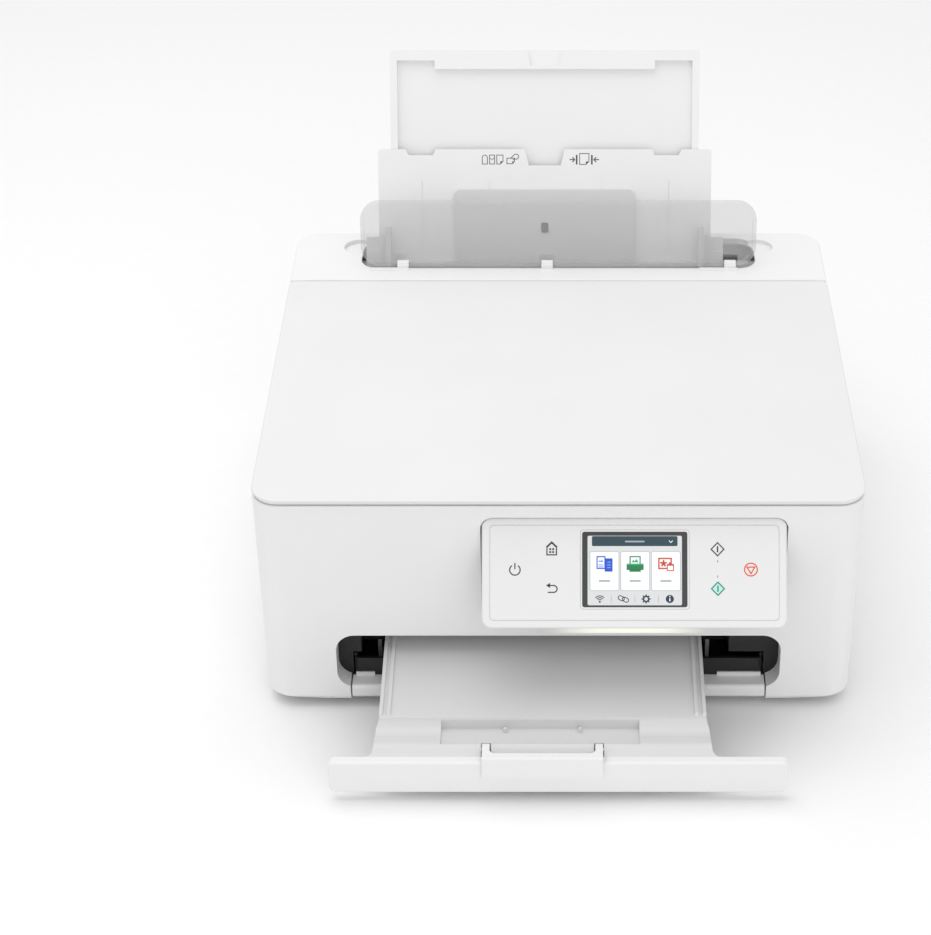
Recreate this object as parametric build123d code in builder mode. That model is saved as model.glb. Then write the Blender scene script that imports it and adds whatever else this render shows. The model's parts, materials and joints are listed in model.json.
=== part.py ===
from build123d import *

import os
from math import cos, radians, sin, tan

os.makedirs("parts", exist_ok=True)

# A multifunction printer: document lid and flatbed scanner on top, an inkjet engine and a
# paper cassette below, and a rear feed with a telescoping paper support.
# Lengths are millimetres and angles are degrees. Every depth is measured rearwards from the
# body's front face, and every height from the surface that the printer stands on.

# Body
body_width = 377.0
body_depth = 349.0
foot_height = 6.0
foot_radius = 9.0
foot_inset = 28.0
casing_top = 156.5
casing_wall = 2.5
rim_thickness = 2.5
side_draft = 1.5
front_corner = 17.0
rear_corner = 19.0
skirt_chamfer = 4.0
skirt_lip = 7.0
skirt_lip_height = 4.0
kerb_width = 5.0
flange_thickness = 2.0
seam = 0.3
slip = 0.3
running = 0.05

# Document lid
lid_top = 162.0
lid_thickness = 4.0
lid_skin = 2.2
lid_overhang = 2.0
lid_rear = 275.0
lid_rear_corner = 5.0
lid_edge_radius = 1.2
lid_hinge_x = 120.0
lid_hinge_y = 271.5
lid_hinge_z = 158.6
lid_hinge_notch = 12.0
lid_hinge_reach = 5.5
lid_shadow_inset = 1.7
lid_shadow_height = 2.7
lid_bevel_depth = 1.6
lid_bevel_height = 2.8
lid_pin_radius = 1.2
lid_knuckle_radius = 2.0
lid_knuckle_width = 9.0

# Scanner unit
scanner_front = 17.5
scanner_rear = 274.5
scanner_width = body_width - 25.0
scanner_floor = 126.0
scanner_wall = 2.0
frame_bottom = 153.3
frame_top = 155.8
glass_thickness = 3.0
glass_lap = 3.5
bed_width = 297.0
bed_depth = 216.0
bed_centre_y = 146.0
pad_inset = 1.5
scan_bar_width = 18.0
scan_bar_height = 13.4
scan_rail_radius = 3.0
scan_rail_z = 133.0
scanner_hinge_y = 278.0
scanner_hinge_z = 156.0
scanner_hinge_x = 143.2
scanner_arm_width = 6.5
scanner_boss_radius = 2.1
scanner_pin_radius = 1.3
scanner_pin_reach = 4.5

# Rear deck and its feed slot
deck_front = 277.5
deck_top = 161.0
deck_skin = 2.0
deck_rim = 3.0
deck_edge_radius = 1.5
slot_front = 295.0
slot_rear = 340.0
slot_half_width = body_width / 2 - 45.5
slot_corner = 13.0
slot_side_gap = 0.8
finger_radius = 11.0
finger_y = 327.0
finger_floor = 1.5
ledge_width = 27.0
ledge_depth = 4.0
ledge_height = 0.6
cross_wall_y = 284.0
cross_wall_bottom = 124.0

# Rear panel and its sockets
rear_window_half = body_width / 2 - 28.5
rear_window_bottom = 14.0
rear_window_top = 140.0
rear_flange = 2.0
vent_z = 112.0
vent_pitch_x = 14.0
vent_pitch_z = 9.0
vent_columns = 13
vent_rows = 4
vent_length = 10.0
vent_height = 3.0
inlet_x, inlet_z = rear_window_half - 12.0, 30.0
inlet_width, inlet_height = 24.0, 18.0
inlet_depth = 26.0
usb_x, usb_z = 20.0 - rear_window_half, 54.0
usb_width, usb_height = 13.0, 12.0
usb_depth = 18.0

# Front opening
opening_half_width = 140.9
opening_top = 58.1
opening_bottom = 17.0
opening_corner = 12.0
notch_half_width = opening_half_width - 7.9
sleeve_depth = 14.0
sleeve_wall = 3.0
sleeve_top = 60.0
blind_thickness = 2.5

# Status light below the control panel
light_left = -14.0
light_right = 92.0
light_bottom = 60.2
light_height = 3.6
light_depth = 5.0

# Control panel
panel_x = 46.5
panel_top_y = 2.0
panel_top_z = 147.0
panel_tilt = 36.0
panel_width = 186.6
panel_height = 67.8
panel_thickness = 9.0
panel_skin = 2.0
panel_corner = 6.0
panel_edge_radius = 1.2
panel_axis_down = 3.5
panel_axis_back = 4.5
panel_pin_radius = 1.5
panel_side_gap = 1.2
recess_bottom_gap = 0.8
recess_top = 148.0
recess_depth = 11.0
recess_wall = 2.0
recess_corner = 8.0
display_width = 64.4
display_height = 46.2
display_x = 0.2
display_down = 31.9
display_depth = 4.5
screen_width = 57.7
screen_height = 42.5
screen_down = 0.6
display_corner = 1.5
display_sink = 0.3
screen_back = 1.2
screen_thickness = 0.7
screen_corner = 1.0
panel_back_thickness = 1.6
ring_gap = 2.0
groove_width = 0.6
groove_depth = 0.5
inset_line = 4.5

# Paper path: its centre lies left of the body's centre
path_x = -9.7

# Output tray and its front plate
tray_tilt = 4.5
tray_root_z = 44.0
tray_width = 201.6
tray_back = 60.0
tray_step_y = -59.0
tray_thickness = 3.0
tray_rail_width = 7.0
tray_rail_height = 1.6
tray_flare = 3.7
tray_fillet = 4.5
shelf_y = -69.0
shelf_z = 33.0
bump_y = -76.0
bump_z = 33.6
plate_rear_y = -85.0
plate_thickness = 6.0
plate_width = 2 * opening_half_width - 1.5
plate_bottom = 6.5
plate_top = 30.0
plate_corner = 5.0
plate_edge_radius = 1.5
well_left = -62.5
well_right = 59.5
well_depth = 1.5
stop_pin_spacing = 46.0

# Output flap
flap_width = 73.5
flap_thickness = 2.0
flap_bottom = 20.2
flap_top = 35.2
flap_axis_y = -79.0
flap_axis_z = 30.6
flap_barrel_radius = 2.2
flap_arm_width = 4.5
flap_arm_fillet = 3.5
flap_ledge = 5.5
flap_edge_radius = 1.0
flap_pin_radius = 1.2
flap_pin_length = 4.0
flap_gap = 0.8

# Cassette
cassette_half_width = opening_half_width - 9.9
cassette_front_y = 12.0
cassette_rear_y = 316.0
cassette_bottom = 8.8
cassette_floor = 2.0
cassette_top = 33.0
cassette_front_top = 31.0
cassette_wall = 2.0
bridge_front = 32.0
bridge_rear = 58.0
bridge_thickness = 2.0
runner_x = 96.0
runner_width = 3.0
bar_half_width = cassette_half_width + 1.0
bar_bottom = 6.2
bar_top = 17.8
bar_edge_radius = 2.5
bar_lip_height = 2.7
sheet_width = 210.0
lift_plate_front = 130.0
lift_plate_rear = 304.0
lift_plate_half_width = 100.0
lift_plate_thickness = 1.5
lift_pin_radius = 1.5
lift_axis_z = 13.5

# Rear feed and telescoping paper support
support_foot_y = 318.0
support_lean = 22.0
lower_width = 2 * slot_half_width - 49.0
lower_exposed = 72.7
lower_hidden = 32.0
lower_thickness = 2.5
upper_width = lower_width - 18.0
upper_exposed = 142.0
upper_hidden_start = 42.0
upper_depth = 6.0
upper_skin = 2.0
upper_rim = 5.0
upper_bar = 13.0
upper_corner_bar = 7.0
upper_bar_half_width = 78.0
lower_grooves = (31.3 - lower_width / 2, -39.6, 40.7, lower_width / 2 - 30.2)
lower_groove_top = 50.0
lower_side_notches = (30.3 - lower_width / 2, lower_width / 2 - 31.7)
stage_gap = 0.5
rest_half_width = 64.0
rest_height = 44.0
rest_thickness = 3.0
chute_half_width = slot_half_width + 1.5
chute_wall = 2.5
chute_length = 104.0
guide_half_gap = slot_half_width - 34.0
guide_thickness = 4.0
guide_foot = 14.0
guide_height = 11.3
guide_top = 19.0
guide_bottom = -40.0
guide_foot_thickness = 4.5
chute_back_gap = 1.0
chute_head_down = 8.0
chute_rib_width = 2.5
rest_pad_up = 17.5
rest_pad_thickness = 0.8

# Feed slot cover
cover_y = 295.0
cover_z = 166.0
cover_lean = 10.0
cover_width = 2 * slot_half_width - 7.0
cover_height = 44.0
cover_drop = 3.5
cover_thickness = 2.0
cover_rim = 3.0
cover_rim_width = 2.5
cover_corner = 14.0
cover_axis_y = 297.5
cover_axis_z = 163.8
cover_pin_radius = 1.0
cover_clip_width = 8.0
cover_clip_radius = 2.2
cover_clips = (33.0 - slot_half_width, -8.0, slot_half_width - 21.5)
cover_notch_gap = 1.2
cover_notch_height = 5.5

# Print engine
frame_x = opening_half_width + 9.1
frame_thickness = 1.5
frame_front = 88.5
frame_rear = 262.0
frame_height = 122.0
feed_y = 150.0
feed_z = 67.0
feed_radius = 8.0
feed_shaft = 4.0
train_angle = 3.7
eject_radius = 6.0
eject_shaft = 3.0
gear_face = 5.0
gear_gap = 1.0
gear_module = 1.0
feed_teeth = 28
idler_teeth = 18
pinion_teeth = 10
backlash = 0.05
pickup_y = 215.0
pickup_z = 46.0
pickup_radius = 9.5
pickup_shaft = 3.0
rear_roller_radius = 10.0
rear_roller_down = 62.0
shaft_y = 158.0
shaft_z = 90.0
shaft_radius = 4.0
rail_y = 166.0
carriage_right = frame_x - 4.0
carriage_left = carriage_right - 56.0
carriage_front = 92.0
carriage_rear = 152.0
carriage_bottom = 76.0
carriage_top = 116.0
carriage_wall = 2.0
head_drop = 3.0
belt_z = 104.0
belt_pulley_x = 128.0
belt_y = 162.5
belt_width = 4.0
belt_thickness = 1.0
pulley_radius = 6.0
pulley_shaft = 1.5
platen_top = 71.0
platen_thickness = 5.0
platen_right = 96.0
platen_rib_count = 15
platen_rib_pitch = 14.0
platen_rib_height = 0.8
purge_bottom = 40.0
purge_rim = 4.0
ring_count = 7
ring_pitch = 30.0
ring_width = 8.0
stud_radius = 2.0
pinion_shaft = 1.5
feed_motor_radius = 12.0
feed_motor_length = 26.0
rail_thickness = 1.5
rail_bottom = 66.5
rail_top = 118.0
rail_flange = 10.0
carriage_motor_radius = 11.0
carriage_motor_length = 26.5
pulley_overhang = 0.8
pulley_flange = 1.4

# Dark pods beside the output path, and what stands in the rest of the case
pod_left = 14.9 - opening_half_width
pod_right = opening_half_width - 31.9
pod_rear = 95.0
lintel_rear = 70.0
lintel_thickness = 2.0
absorber_front = 90.0
absorber_rear = 250.0
absorber_top = 38.0
supply_front = 185.0
supply_rear = 322.0
supply_top = 56.0
board_gap = 6.0
board_thickness = 1.6
board_front = 175.0
board_rear = 315.0
board_bottom = 45.0
board_top = 112.0
standoff_radius = 2.5

# The body's front face stands so far forwards of the origin that the origin is the middle of
# the whole footprint, from the output flap to the top of the raised paper support.
lean = radians(support_lean)
upper_back = lower_thickness + stage_gap + upper_depth
front_reach = -plate_rear_y + plate_thickness + slip + flap_thickness
rear_reach = support_foot_y + upper_exposed * sin(lean) + upper_back * cos(lean)
front = (front_reach - rear_reach) / 2

floor = Plane(origin=(0, front, 0))


def upright(y):
    """A plane that faces forwards, at a depth behind the front face."""
    return Plane(origin=(0, front + y, 0), x_dir=(1, 0, 0), z_dir=(0, -1, 0))


def side(x):
    """A plane that faces right, with depth and height as its two directions."""
    return Plane(origin=(x, front, 0), x_dir=(0, 1, 0), z_dir=(1, 0, 0))


def tilted(x, y, z, lean_back):
    """A plane that faces forwards and leans back, with its origin on the foot line."""
    a = radians(lean_back)
    return Plane(origin=(x, front + y, z), x_dir=(1, 0, 0), z_dir=(0, -cos(a), sin(a)))


panel_plane = tilted(panel_x, panel_top_y, panel_top_z, panel_tilt)
support_plane = tilted(path_x, support_foot_y, lid_top, support_lean)
cover_plane = tilted(0, cover_y, cover_z, cover_lean)


def slab(x0, x1, y0, y1, z0, z1, mode=Mode.ADD):
    """A box between two corners of the sub-part's own plane."""
    with Locations(((x0 + x1) / 2, (y0 + y1) / 2, (z0 + z1) / 2)):
        Box(x1 - x0, y1 - y0, z1 - z0, mode=mode)


def rod(x0, x1, y, z, radius, mode=Mode.ADD):
    """A round bar from left to right."""
    with Locations(Location(((x0 + x1) / 2, y, z), (0, 90, 0))):
        Cylinder(radius, x1 - x0, mode=mode)


def stud(x, y0, y1, z, radius, mode=Mode.ADD):
    """A round bar from front to rear."""
    with Locations(Location((x, (y0 + y1) / 2, z), (90, 0, 0))):
        Cylinder(radius, y1 - y0, mode=mode)


def plan(height, side_inset=0.0, inset=0.0):
    """The body's outline seen from above, at one height."""
    with BuildSketch(floor.offset(height), mode=Mode.PRIVATE) as outline:
        with Locations((0, body_depth / 2)):
            Rectangle(body_width - 2 * (side_inset + inset), body_depth - 2 * inset)
        fillet(outline.vertices().group_by(Axis.Y)[0], front_corner - inset)
        fillet(outline.vertices().group_by(Axis.Y)[-1], rear_corner - inset)
    return outline.sketch


# Where the control panel's axis lies once the panel hangs at its tilt
tilt = radians(panel_tilt)
panel_axis_y = panel_top_y - panel_axis_down * sin(tilt) + panel_axis_back * cos(tilt)
panel_axis_z = panel_top_z - panel_axis_down * cos(tilt) - panel_axis_back * sin(tilt)
recess_half_width = panel_width / 2 + panel_side_gap
recess_bottom = panel_axis_z + panel_axis_down - panel_height - recess_bottom_gap
rear_inner = body_depth - casing_wall
arm_outer = scanner_hinge_x + scanner_arm_width / 2
ear_inner = arm_outer + slip
ear_outer = ear_inner + 2.5

# Main casing
with BuildPart(floor) as main_casing:
    loft([plan(foot_height, side_draft).face(), plan(casing_top).face()], ruled=True)
    chamfer(main_casing.faces().sort_by(Axis.Z)[0].edges(), skirt_chamfer)
    fillet(main_casing.faces().sort_by(Axis.Z)[-1].edges(), 0.8)
    lip_top = foot_height + skirt_lip_height
    hollow = [plan(lip_top, side_draft, casing_wall), plan(casing_top - rim_thickness, 0, casing_wall)]
    loft([section.face() for section in hollow], ruled=True, mode=Mode.SUBTRACT)
    extrude(plan(foot_height, side_draft, skirt_lip), amount=skirt_lip_height, mode=Mode.SUBTRACT)
    # The scanner and the rear deck stand in the open top
    pocket = scanner_width / 2 + 1
    slab(-pocket, pocket, scanner_front - 1, rear_inner, casing_top - 4, casing_top + 1, Mode.SUBTRACT)
    # Cross wall behind the scanner, with the ears and pins that the scanner unit turns on
    wall_face = body_width / 2 - casing_wall
    slab(-wall_face, wall_face, cross_wall_y, cross_wall_y + 3, cross_wall_bottom, casing_top)
    for sign in (-1, 1):
        inner, outer = sorted((sign * ear_inner, sign * ear_outer))
        slab(inner, outer, scanner_hinge_y, cross_wall_y + 1, scanner_hinge_z - 3,
             scanner_hinge_z + scanner_boss_radius)
        rod(inner, outer, scanner_hinge_y, scanner_hinge_z, scanner_boss_radius)
        pin_end, pin_root = sorted((sign * (scanner_hinge_x - scanner_pin_reach), sign * (ear_inner + 1)))
        rod(pin_end, pin_root, scanner_hinge_y, scanner_hinge_z, scanner_pin_radius)
    # Sleeve round the front opening
    slab(-opening_half_width - sleeve_wall, opening_half_width + sleeve_wall, 1, sleeve_depth, 8, sleeve_top)
    with BuildSketch(upright(-1)):
        with Locations((0, (opening_top + opening_bottom) / 2)):
            RectangleRounded(2 * opening_half_width, opening_top - opening_bottom, opening_corner)
        with Locations((0, (opening_bottom + opening_corner + foot_height - 2) / 2)):
            Rectangle(2 * notch_half_width, opening_bottom + opening_corner - foot_height + 2)
    extrude(amount=-sleeve_depth - 2, mode=Mode.SUBTRACT)
    # Recess for the control panel, with bores for its two pins
    slab(panel_x - recess_half_width - recess_wall, panel_x + recess_half_width + recess_wall,
         1, recess_depth + recess_wall, recess_bottom - recess_wall, recess_top + recess_wall)
    with BuildSketch(upright(-1)):
        with Locations((panel_x, (recess_bottom + recess_top) / 2)):
            RectangleRounded(2 * recess_half_width, recess_top - recess_bottom, recess_corner)
    extrude(amount=-recess_depth - 1, mode=Mode.SUBTRACT)
    rod(panel_x - recess_half_width - 3, panel_x + recess_half_width + 3, panel_axis_y, panel_axis_z,
        panel_pin_radius + running, Mode.SUBTRACT)
    # Slot for the status light
    light_top = light_bottom + light_height
    slab(light_left, light_right, -1, light_depth + 1, light_bottom, light_top, Mode.SUBTRACT)
    # Window for the rear panel
    slab(-rear_window_half, rear_window_half, rear_inner - 1, body_depth + 1, rear_window_bottom,
         rear_window_top, Mode.SUBTRACT)
main_casing.part.label = "main_casing"
export_step(main_casing.part, "parts/main_casing.step")

# Base case: floor, rim over the casing's lip, and rails beside the cassette
base_top = foot_height + 2.5
rail_inner = cassette_half_width + 3
with BuildPart(floor) as base_case:
    extrude(plan(foot_height, side_draft, skirt_lip + slip), amount=base_top - foot_height)
    with BuildSketch(floor.offset(base_top)):
        lowered = Location((0, -front, -base_top))
        add(plan(base_top, side_draft, skirt_lip + slip).moved(lowered))
        add(plan(base_top, side_draft, skirt_lip + kerb_width).moved(lowered), mode=Mode.SUBTRACT)
    extrude(amount=lip_top + flange_thickness - base_top)
    with BuildSketch(floor.offset(lip_top)):
        lowered = Location((0, -front, -lip_top))
        add(plan(lip_top, side_draft, casing_wall + slip).moved(lowered))
        add(plan(lip_top, side_draft, skirt_lip + kerb_width - 2).moved(lowered), mode=Mode.SUBTRACT)
    extrude(amount=flange_thickness)
    bay_half = opening_half_width + sleeve_wall + 2.1
    rail_front = sleeve_depth + blind_thickness + slip
    slab(-bay_half, bay_half, -1, rail_front, 0, cassette_top + 7, Mode.SUBTRACT)
    slab(-rail_inner, rail_inner, 0, cassette_rear_y + 4, base_top, cassette_top + 7, Mode.SUBTRACT)
    for sign in (-1, 1):
        inner, outer = sorted((sign * rail_inner, sign * (rail_inner + 2)))
        slab(inner, outer, rail_front, cassette_rear_y + 4, base_top, cassette_top + 1)
base_case.part.label = "base_case"
export_step(base_case.part, "parts/base_case.step")

# Rubber feet
with BuildPart(floor) as rubber_feet:
    foot_x = body_width / 2 - foot_inset
    with Locations(*[(x, y, foot_height / 2) for x in (-foot_x, foot_x)
                     for y in (foot_inset, body_depth - foot_inset)]):
        Cylinder(foot_radius, foot_height)
    chamfer(rubber_feet.edges().group_by(Axis.Z)[0], 0.8)
rubber_feet.part.label = "rubber_feet"
export_step(rubber_feet.part, "parts/rubber_feet.step")

# Rear deck with the feed slot, finger recesses and the clips of the slot cover
with BuildPart(floor) as rear_deck:
    extrude(plan(casing_top), amount=deck_top - casing_top)
    fillet(rear_deck.faces().sort_by(Axis.Z)[-1].edges(), deck_edge_radius)
    slab(-body_width, body_width, -1, deck_front, casing_top - 1, deck_top + 1, Mode.SUBTRACT)
    fillet(rear_deck.faces().sort_by(Axis.Y)[0].edges().sort_by(Axis.Z)[-1], 1.2)
    with BuildSketch(floor.offset(casing_top)):
        cavity_front = deck_front + deck_rim
        cavity_rear = body_depth - deck_rim - 1
        with Locations((0, (cavity_front + cavity_rear) / 2)):
            RectangleRounded(body_width - 2 * deck_rim - 2, cavity_rear - cavity_front, 12)
        with Locations((0, (slot_front + slot_rear) / 2)):
            Rectangle(2 * (slot_half_width + 5), slot_rear - slot_front + 5, mode=Mode.SUBTRACT)
    extrude(amount=deck_top - deck_skin - casing_top, mode=Mode.SUBTRACT)
    # Cups below the finger recesses, so that one doesn't look into the case through them
    recess_z = casing_top + finger_floor
    for x in (-slot_half_width, slot_half_width):
        with Locations((x, finger_y, (casing_top + deck_top - 1) / 2)):
            Cylinder(finger_radius + 1.5, deck_top - 1 - casing_top)
    with BuildSketch(floor.offset(casing_top - 1)):
        with Locations((0, (slot_front + slot_rear) / 2)):
            RectangleRounded(cover_width + 2 * slot_side_gap, slot_rear - slot_front, slot_corner)
    extrude(amount=deck_top - casing_top + 2, mode=Mode.SUBTRACT)
    with Locations((-slot_half_width, finger_y, (recess_z + deck_top + 1) / 2),
                   (slot_half_width, finger_y, (recess_z + deck_top + 1) / 2)):
        Cylinder(finger_radius, deck_top + 1 - recess_z, mode=Mode.SUBTRACT)
    # Two low ledges on the slot's front edge
    for x in (cover_clips[0] + cover_clip_width / 2 - ledge_width, cover_clips[2] + 5.5 - ledge_width):
        slab(x, x + ledge_width, slot_front - ledge_depth, slot_front, deck_top - 1, deck_top + ledge_height)
    for sign in (-1, 1):
        inner, outer = sorted((sign * (scanner_hinge_x - 5.5), sign * (ear_outer + 0.5)))
        slab(inner, outer, deck_front - 1, cavity_front + 1, casing_top - 1, deck_top - deck_skin,
             Mode.SUBTRACT)
    for x in cover_clips:
        half = cover_clip_width / 2
        slab(x - half, x + half, slot_front - 1.5, cover_axis_y, deck_top - 2, cover_axis_z)
        rod(x - half, x + half, cover_axis_y, cover_axis_z, cover_clip_radius)
        rod(x - half, x + half, cover_axis_y, cover_axis_z, cover_pin_radius + running, Mode.SUBTRACT)
rear_deck.part.label = "rear_deck"
export_step(rear_deck.part, "parts/rear_deck.step")

# Rear panel with vents and the two socket windows
with BuildPart(floor) as rear_panel:
    half = rear_window_half
    slab(-half + slip, half - slip, rear_inner, body_depth, rear_window_bottom + slip, rear_window_top - slip)
    slab(-half - 3, half + 3, rear_inner - rear_flange, rear_inner, lip_top + flange_thickness + slip,
         rear_window_top + 3)
    with BuildSketch(upright(body_depth + 1)):
        with Locations((0, vent_z)):
            with GridLocations(vent_pitch_x, vent_pitch_z, vent_columns, vent_rows):
                SlotOverall(vent_length, vent_height)
        with Locations((inlet_x, inlet_z)):
            Rectangle(inlet_width, inlet_height)
        with Locations((usb_x, usb_z)):
            Rectangle(usb_width, usb_height)
    extrude(amount=casing_wall + 4, mode=Mode.SUBTRACT)
rear_panel.part.label = "rear_panel"
export_step(rear_panel.part, "parts/rear_panel.step")

# Mains inlet with its two-pin socket
with BuildPart(floor) as ac_inlet:
    inlet_face = body_depth - 1
    slab(inlet_x - inlet_width / 2, inlet_x + inlet_width / 2, inlet_face - inlet_depth, inlet_face,
         inlet_z - inlet_height / 2, inlet_z + inlet_height / 2)
    with BuildSketch(upright(body_depth)):
        with Locations((inlet_x, inlet_z)):
            SlotOverall(18, 9.5)
    extrude(amount=13, mode=Mode.SUBTRACT)
    for x in (inlet_x - 4.3, inlet_x + 4.3):
        stud(x, inlet_face - 18, inlet_face - 3, inlet_z, 1.2)
ac_inlet.part.label = "ac_inlet"
export_step(ac_inlet.part, "parts/ac_inlet.step")

# Square data socket
with BuildPart(floor) as usb_port:
    slab(usb_x - usb_width / 2, usb_x + usb_width / 2, inlet_face - usb_depth, inlet_face,
         usb_z - usb_height / 2, usb_z + usb_height / 2)
    slab(usb_x - 4.5, usb_x + 4.5, inlet_face - 12, body_depth, usb_z - 4.2, usb_z + 4.2, Mode.SUBTRACT)
    slab(usb_x - 2.8, usb_x + 2.8, inlet_face - 13, inlet_face - 3, usb_z - 1.6, usb_z + 1.6)
usb_port.part.label = "usb_port"
export_step(usb_port.part, "parts/usb_port.step")

# Status light
with BuildPart(floor) as status_light:
    slab(light_left, light_right, 0, light_depth, light_bottom, light_bottom + light_height)
status_light.part.label = "status_light"
export_step(status_light.part, "parts/status_light.step")

# Document lid: a shallow shell with notches under its rear edge for the scanner's knuckles
lid_bottom = lid_top - lid_thickness
with BuildPart(floor) as lid_shell:
    with BuildSketch(floor.offset(lid_bottom)) as lid_outline:
        with Locations((0, (lid_rear - lid_overhang) / 2)):
            Rectangle(body_width, lid_rear + lid_overhang)
        fillet(lid_outline.vertices().group_by(Axis.Y)[0], front_corner)
        fillet(lid_outline.vertices().group_by(Axis.Y)[-1], lid_rear_corner)
    extrude(amount=lid_thickness)
    fillet(lid_shell.faces().sort_by(Axis.Z)[-1].edges(), lid_edge_radius)
    # A shadow gap runs under the lid's edge at the front and the sides
    with BuildSketch(floor.offset(lid_bottom)):
        with Locations((0, (lid_rear - lid_overhang) / 2)):
            Rectangle(body_width + 2, lid_rear + lid_overhang + 2)
        with BuildSketch(mode=Mode.SUBTRACT) as lid_foot:
            with Locations((0, (lid_rear + lid_shadow_inset - lid_overhang) / 2 + 1)):
                Rectangle(body_width - 2 * lid_shadow_inset, lid_rear + lid_overhang - lid_shadow_inset + 2)
            fillet(lid_foot.vertices().group_by(Axis.Y)[0], front_corner - lid_shadow_inset)
    extrude(amount=lid_shadow_height, mode=Mode.SUBTRACT)
    slab(-body_width / 2 + 8, body_width / 2 - 8, 8 - lid_overhang, lid_rear - 10,
         lid_bottom, lid_top - lid_skin, Mode.SUBTRACT)
    for x in (-lid_hinge_x, lid_hinge_x):
        half = lid_hinge_notch / 2
        slab(x - half, x + half, lid_hinge_y - lid_hinge_reach, lid_rear + 1, lid_bottom - 1, lid_top - 1,
             Mode.SUBTRACT)
    # The rear edge is bevelled below, so that it clears the casing when the lid stands open
    with BuildSketch(side(-body_width / 2 - 1)):
        with BuildLine():
            Polyline((lid_rear - lid_bevel_depth, lid_bottom), (lid_rear, lid_bottom + lid_bevel_height),
                     (lid_rear + 1, lid_bottom + lid_bevel_height), (lid_rear + 1, lid_bottom - 1),
                     (lid_rear - lid_bevel_depth, lid_bottom - 1), close=True)
        make_face()
    extrude(amount=body_width + 2, mode=Mode.SUBTRACT)
lid_shell.part.label = "lid_shell"
export_step(lid_shell.part, "parts/lid_shell.step")

# Hinge pins across the lid's two notches
with BuildPart(floor) as lid_hinge_pins:
    for x in (-lid_hinge_x, lid_hinge_x):
        rod(x - lid_hinge_notch / 2, x + lid_hinge_notch / 2, lid_hinge_y, lid_hinge_z, lid_pin_radius)
lid_hinge_pins.part.label = "lid_hinge_pins"
export_step(lid_hinge_pins.part, "parts/lid_hinge_pins.step")

# Pressure pad that holds a sheet flat on the glass
glass_top = frame_bottom
with BuildPart(floor) as pressure_pad:
    with BuildSketch(floor.offset(glass_top + seam)):
        with Locations((0, bed_centre_y)):
            RectangleRounded(bed_width - 2 * pad_inset, bed_depth - 2 * pad_inset, 3)
    extrude(amount=lid_top - lid_skin - glass_top - seam)
pressure_pad.part.label = "pressure_pad"
export_step(pressure_pad.part, "parts/pressure_pad.step")

# Scanner tray: the lower shell, with the arms that turn on the casing's pins
half_scanner = scanner_width / 2
with BuildPart(floor) as scanner_tray:
    tray_side = half_scanner - 1
    hollow_side = tray_side - scanner_wall
    slab(-tray_side, tray_side, scanner_front + 1, scanner_rear - 2, scanner_floor, frame_bottom)
    fillet(scanner_tray.edges().filter_by(Axis.Z), 6)
    slab(-hollow_side, hollow_side, scanner_front + 1 + scanner_wall, scanner_rear - 2 - scanner_wall,
         scanner_floor + scanner_wall, frame_bottom + 1, Mode.SUBTRACT)
    for x in (-scanner_hinge_x, scanner_hinge_x):
        half = scanner_arm_width / 2
        slab(x - half, x + half, scanner_rear - 3, scanner_hinge_y + 1.5, frame_bottom - 3.5, frame_bottom)
        slab(x - half, x + half, scanner_rear + 0.8, scanner_hinge_y + 1.5, frame_bottom - 1, scanner_hinge_z)
        rod(x - half, x + half, scanner_hinge_y, scanner_hinge_z, scanner_boss_radius)
        rod(x - half - 1, x + half + 1, scanner_hinge_y, scanner_hinge_z, scanner_pin_radius + running,
            Mode.SUBTRACT)
scanner_tray.part.label = "scanner_tray"
export_step(scanner_tray.part, "parts/scanner_tray.step")

# Scanner top frame with the bed window and the lid's knuckles
with BuildPart(floor) as scanner_frame:
    slab(-half_scanner, half_scanner, scanner_front, scanner_rear, frame_bottom, frame_top)
    fillet(scanner_frame.edges().filter_by(Axis.Z), 7)
    slab(-bed_width / 2, bed_width / 2, bed_centre_y - bed_depth / 2, bed_centre_y + bed_depth / 2,
         frame_bottom - 1, frame_top + 1, Mode.SUBTRACT)
    slab(-half_scanner - 1, half_scanner + 1, lid_hinge_y - lid_hinge_reach + 0.5, scanner_rear + 1,
         frame_top - 1, frame_top + 1, Mode.SUBTRACT)
    for x in (-lid_hinge_x, lid_hinge_x):
        half = lid_knuckle_width / 2
        slab(x - half, x + half, lid_hinge_y - lid_knuckle_radius, lid_hinge_y + lid_knuckle_radius,
             frame_bottom, lid_hinge_z)
        rod(x - half, x + half, lid_hinge_y, lid_hinge_z, lid_knuckle_radius)
        rod(x - half - 1, x + half + 1, lid_hinge_y, lid_hinge_z, lid_pin_radius + running, Mode.SUBTRACT)
scanner_frame.part.label = "scanner_frame"
export_step(scanner_frame.part, "parts/scanner_frame.step")

# Scan glass, bonded below the frame's window
glass_bottom = frame_bottom - glass_thickness
with BuildPart(floor) as scan_glass:
    with BuildSketch(floor.offset(glass_bottom)):
        with Locations((0, bed_centre_y)):
            Rectangle(bed_width + 2 * glass_lap, bed_depth + 2 * glass_lap)
    extrude(amount=glass_thickness)
scan_glass.part.label = "scan_glass"
export_step(scan_glass.part, "parts/scan_glass.step")

# Rail and the scan bar that slides along it
with BuildPart(floor) as scan_rail:
    rod(-hollow_side, hollow_side, bed_centre_y, scan_rail_z, scan_rail_radius)
scan_rail.part.label = "scan_rail"
export_step(scan_rail.part, "parts/scan_rail.step")

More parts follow.
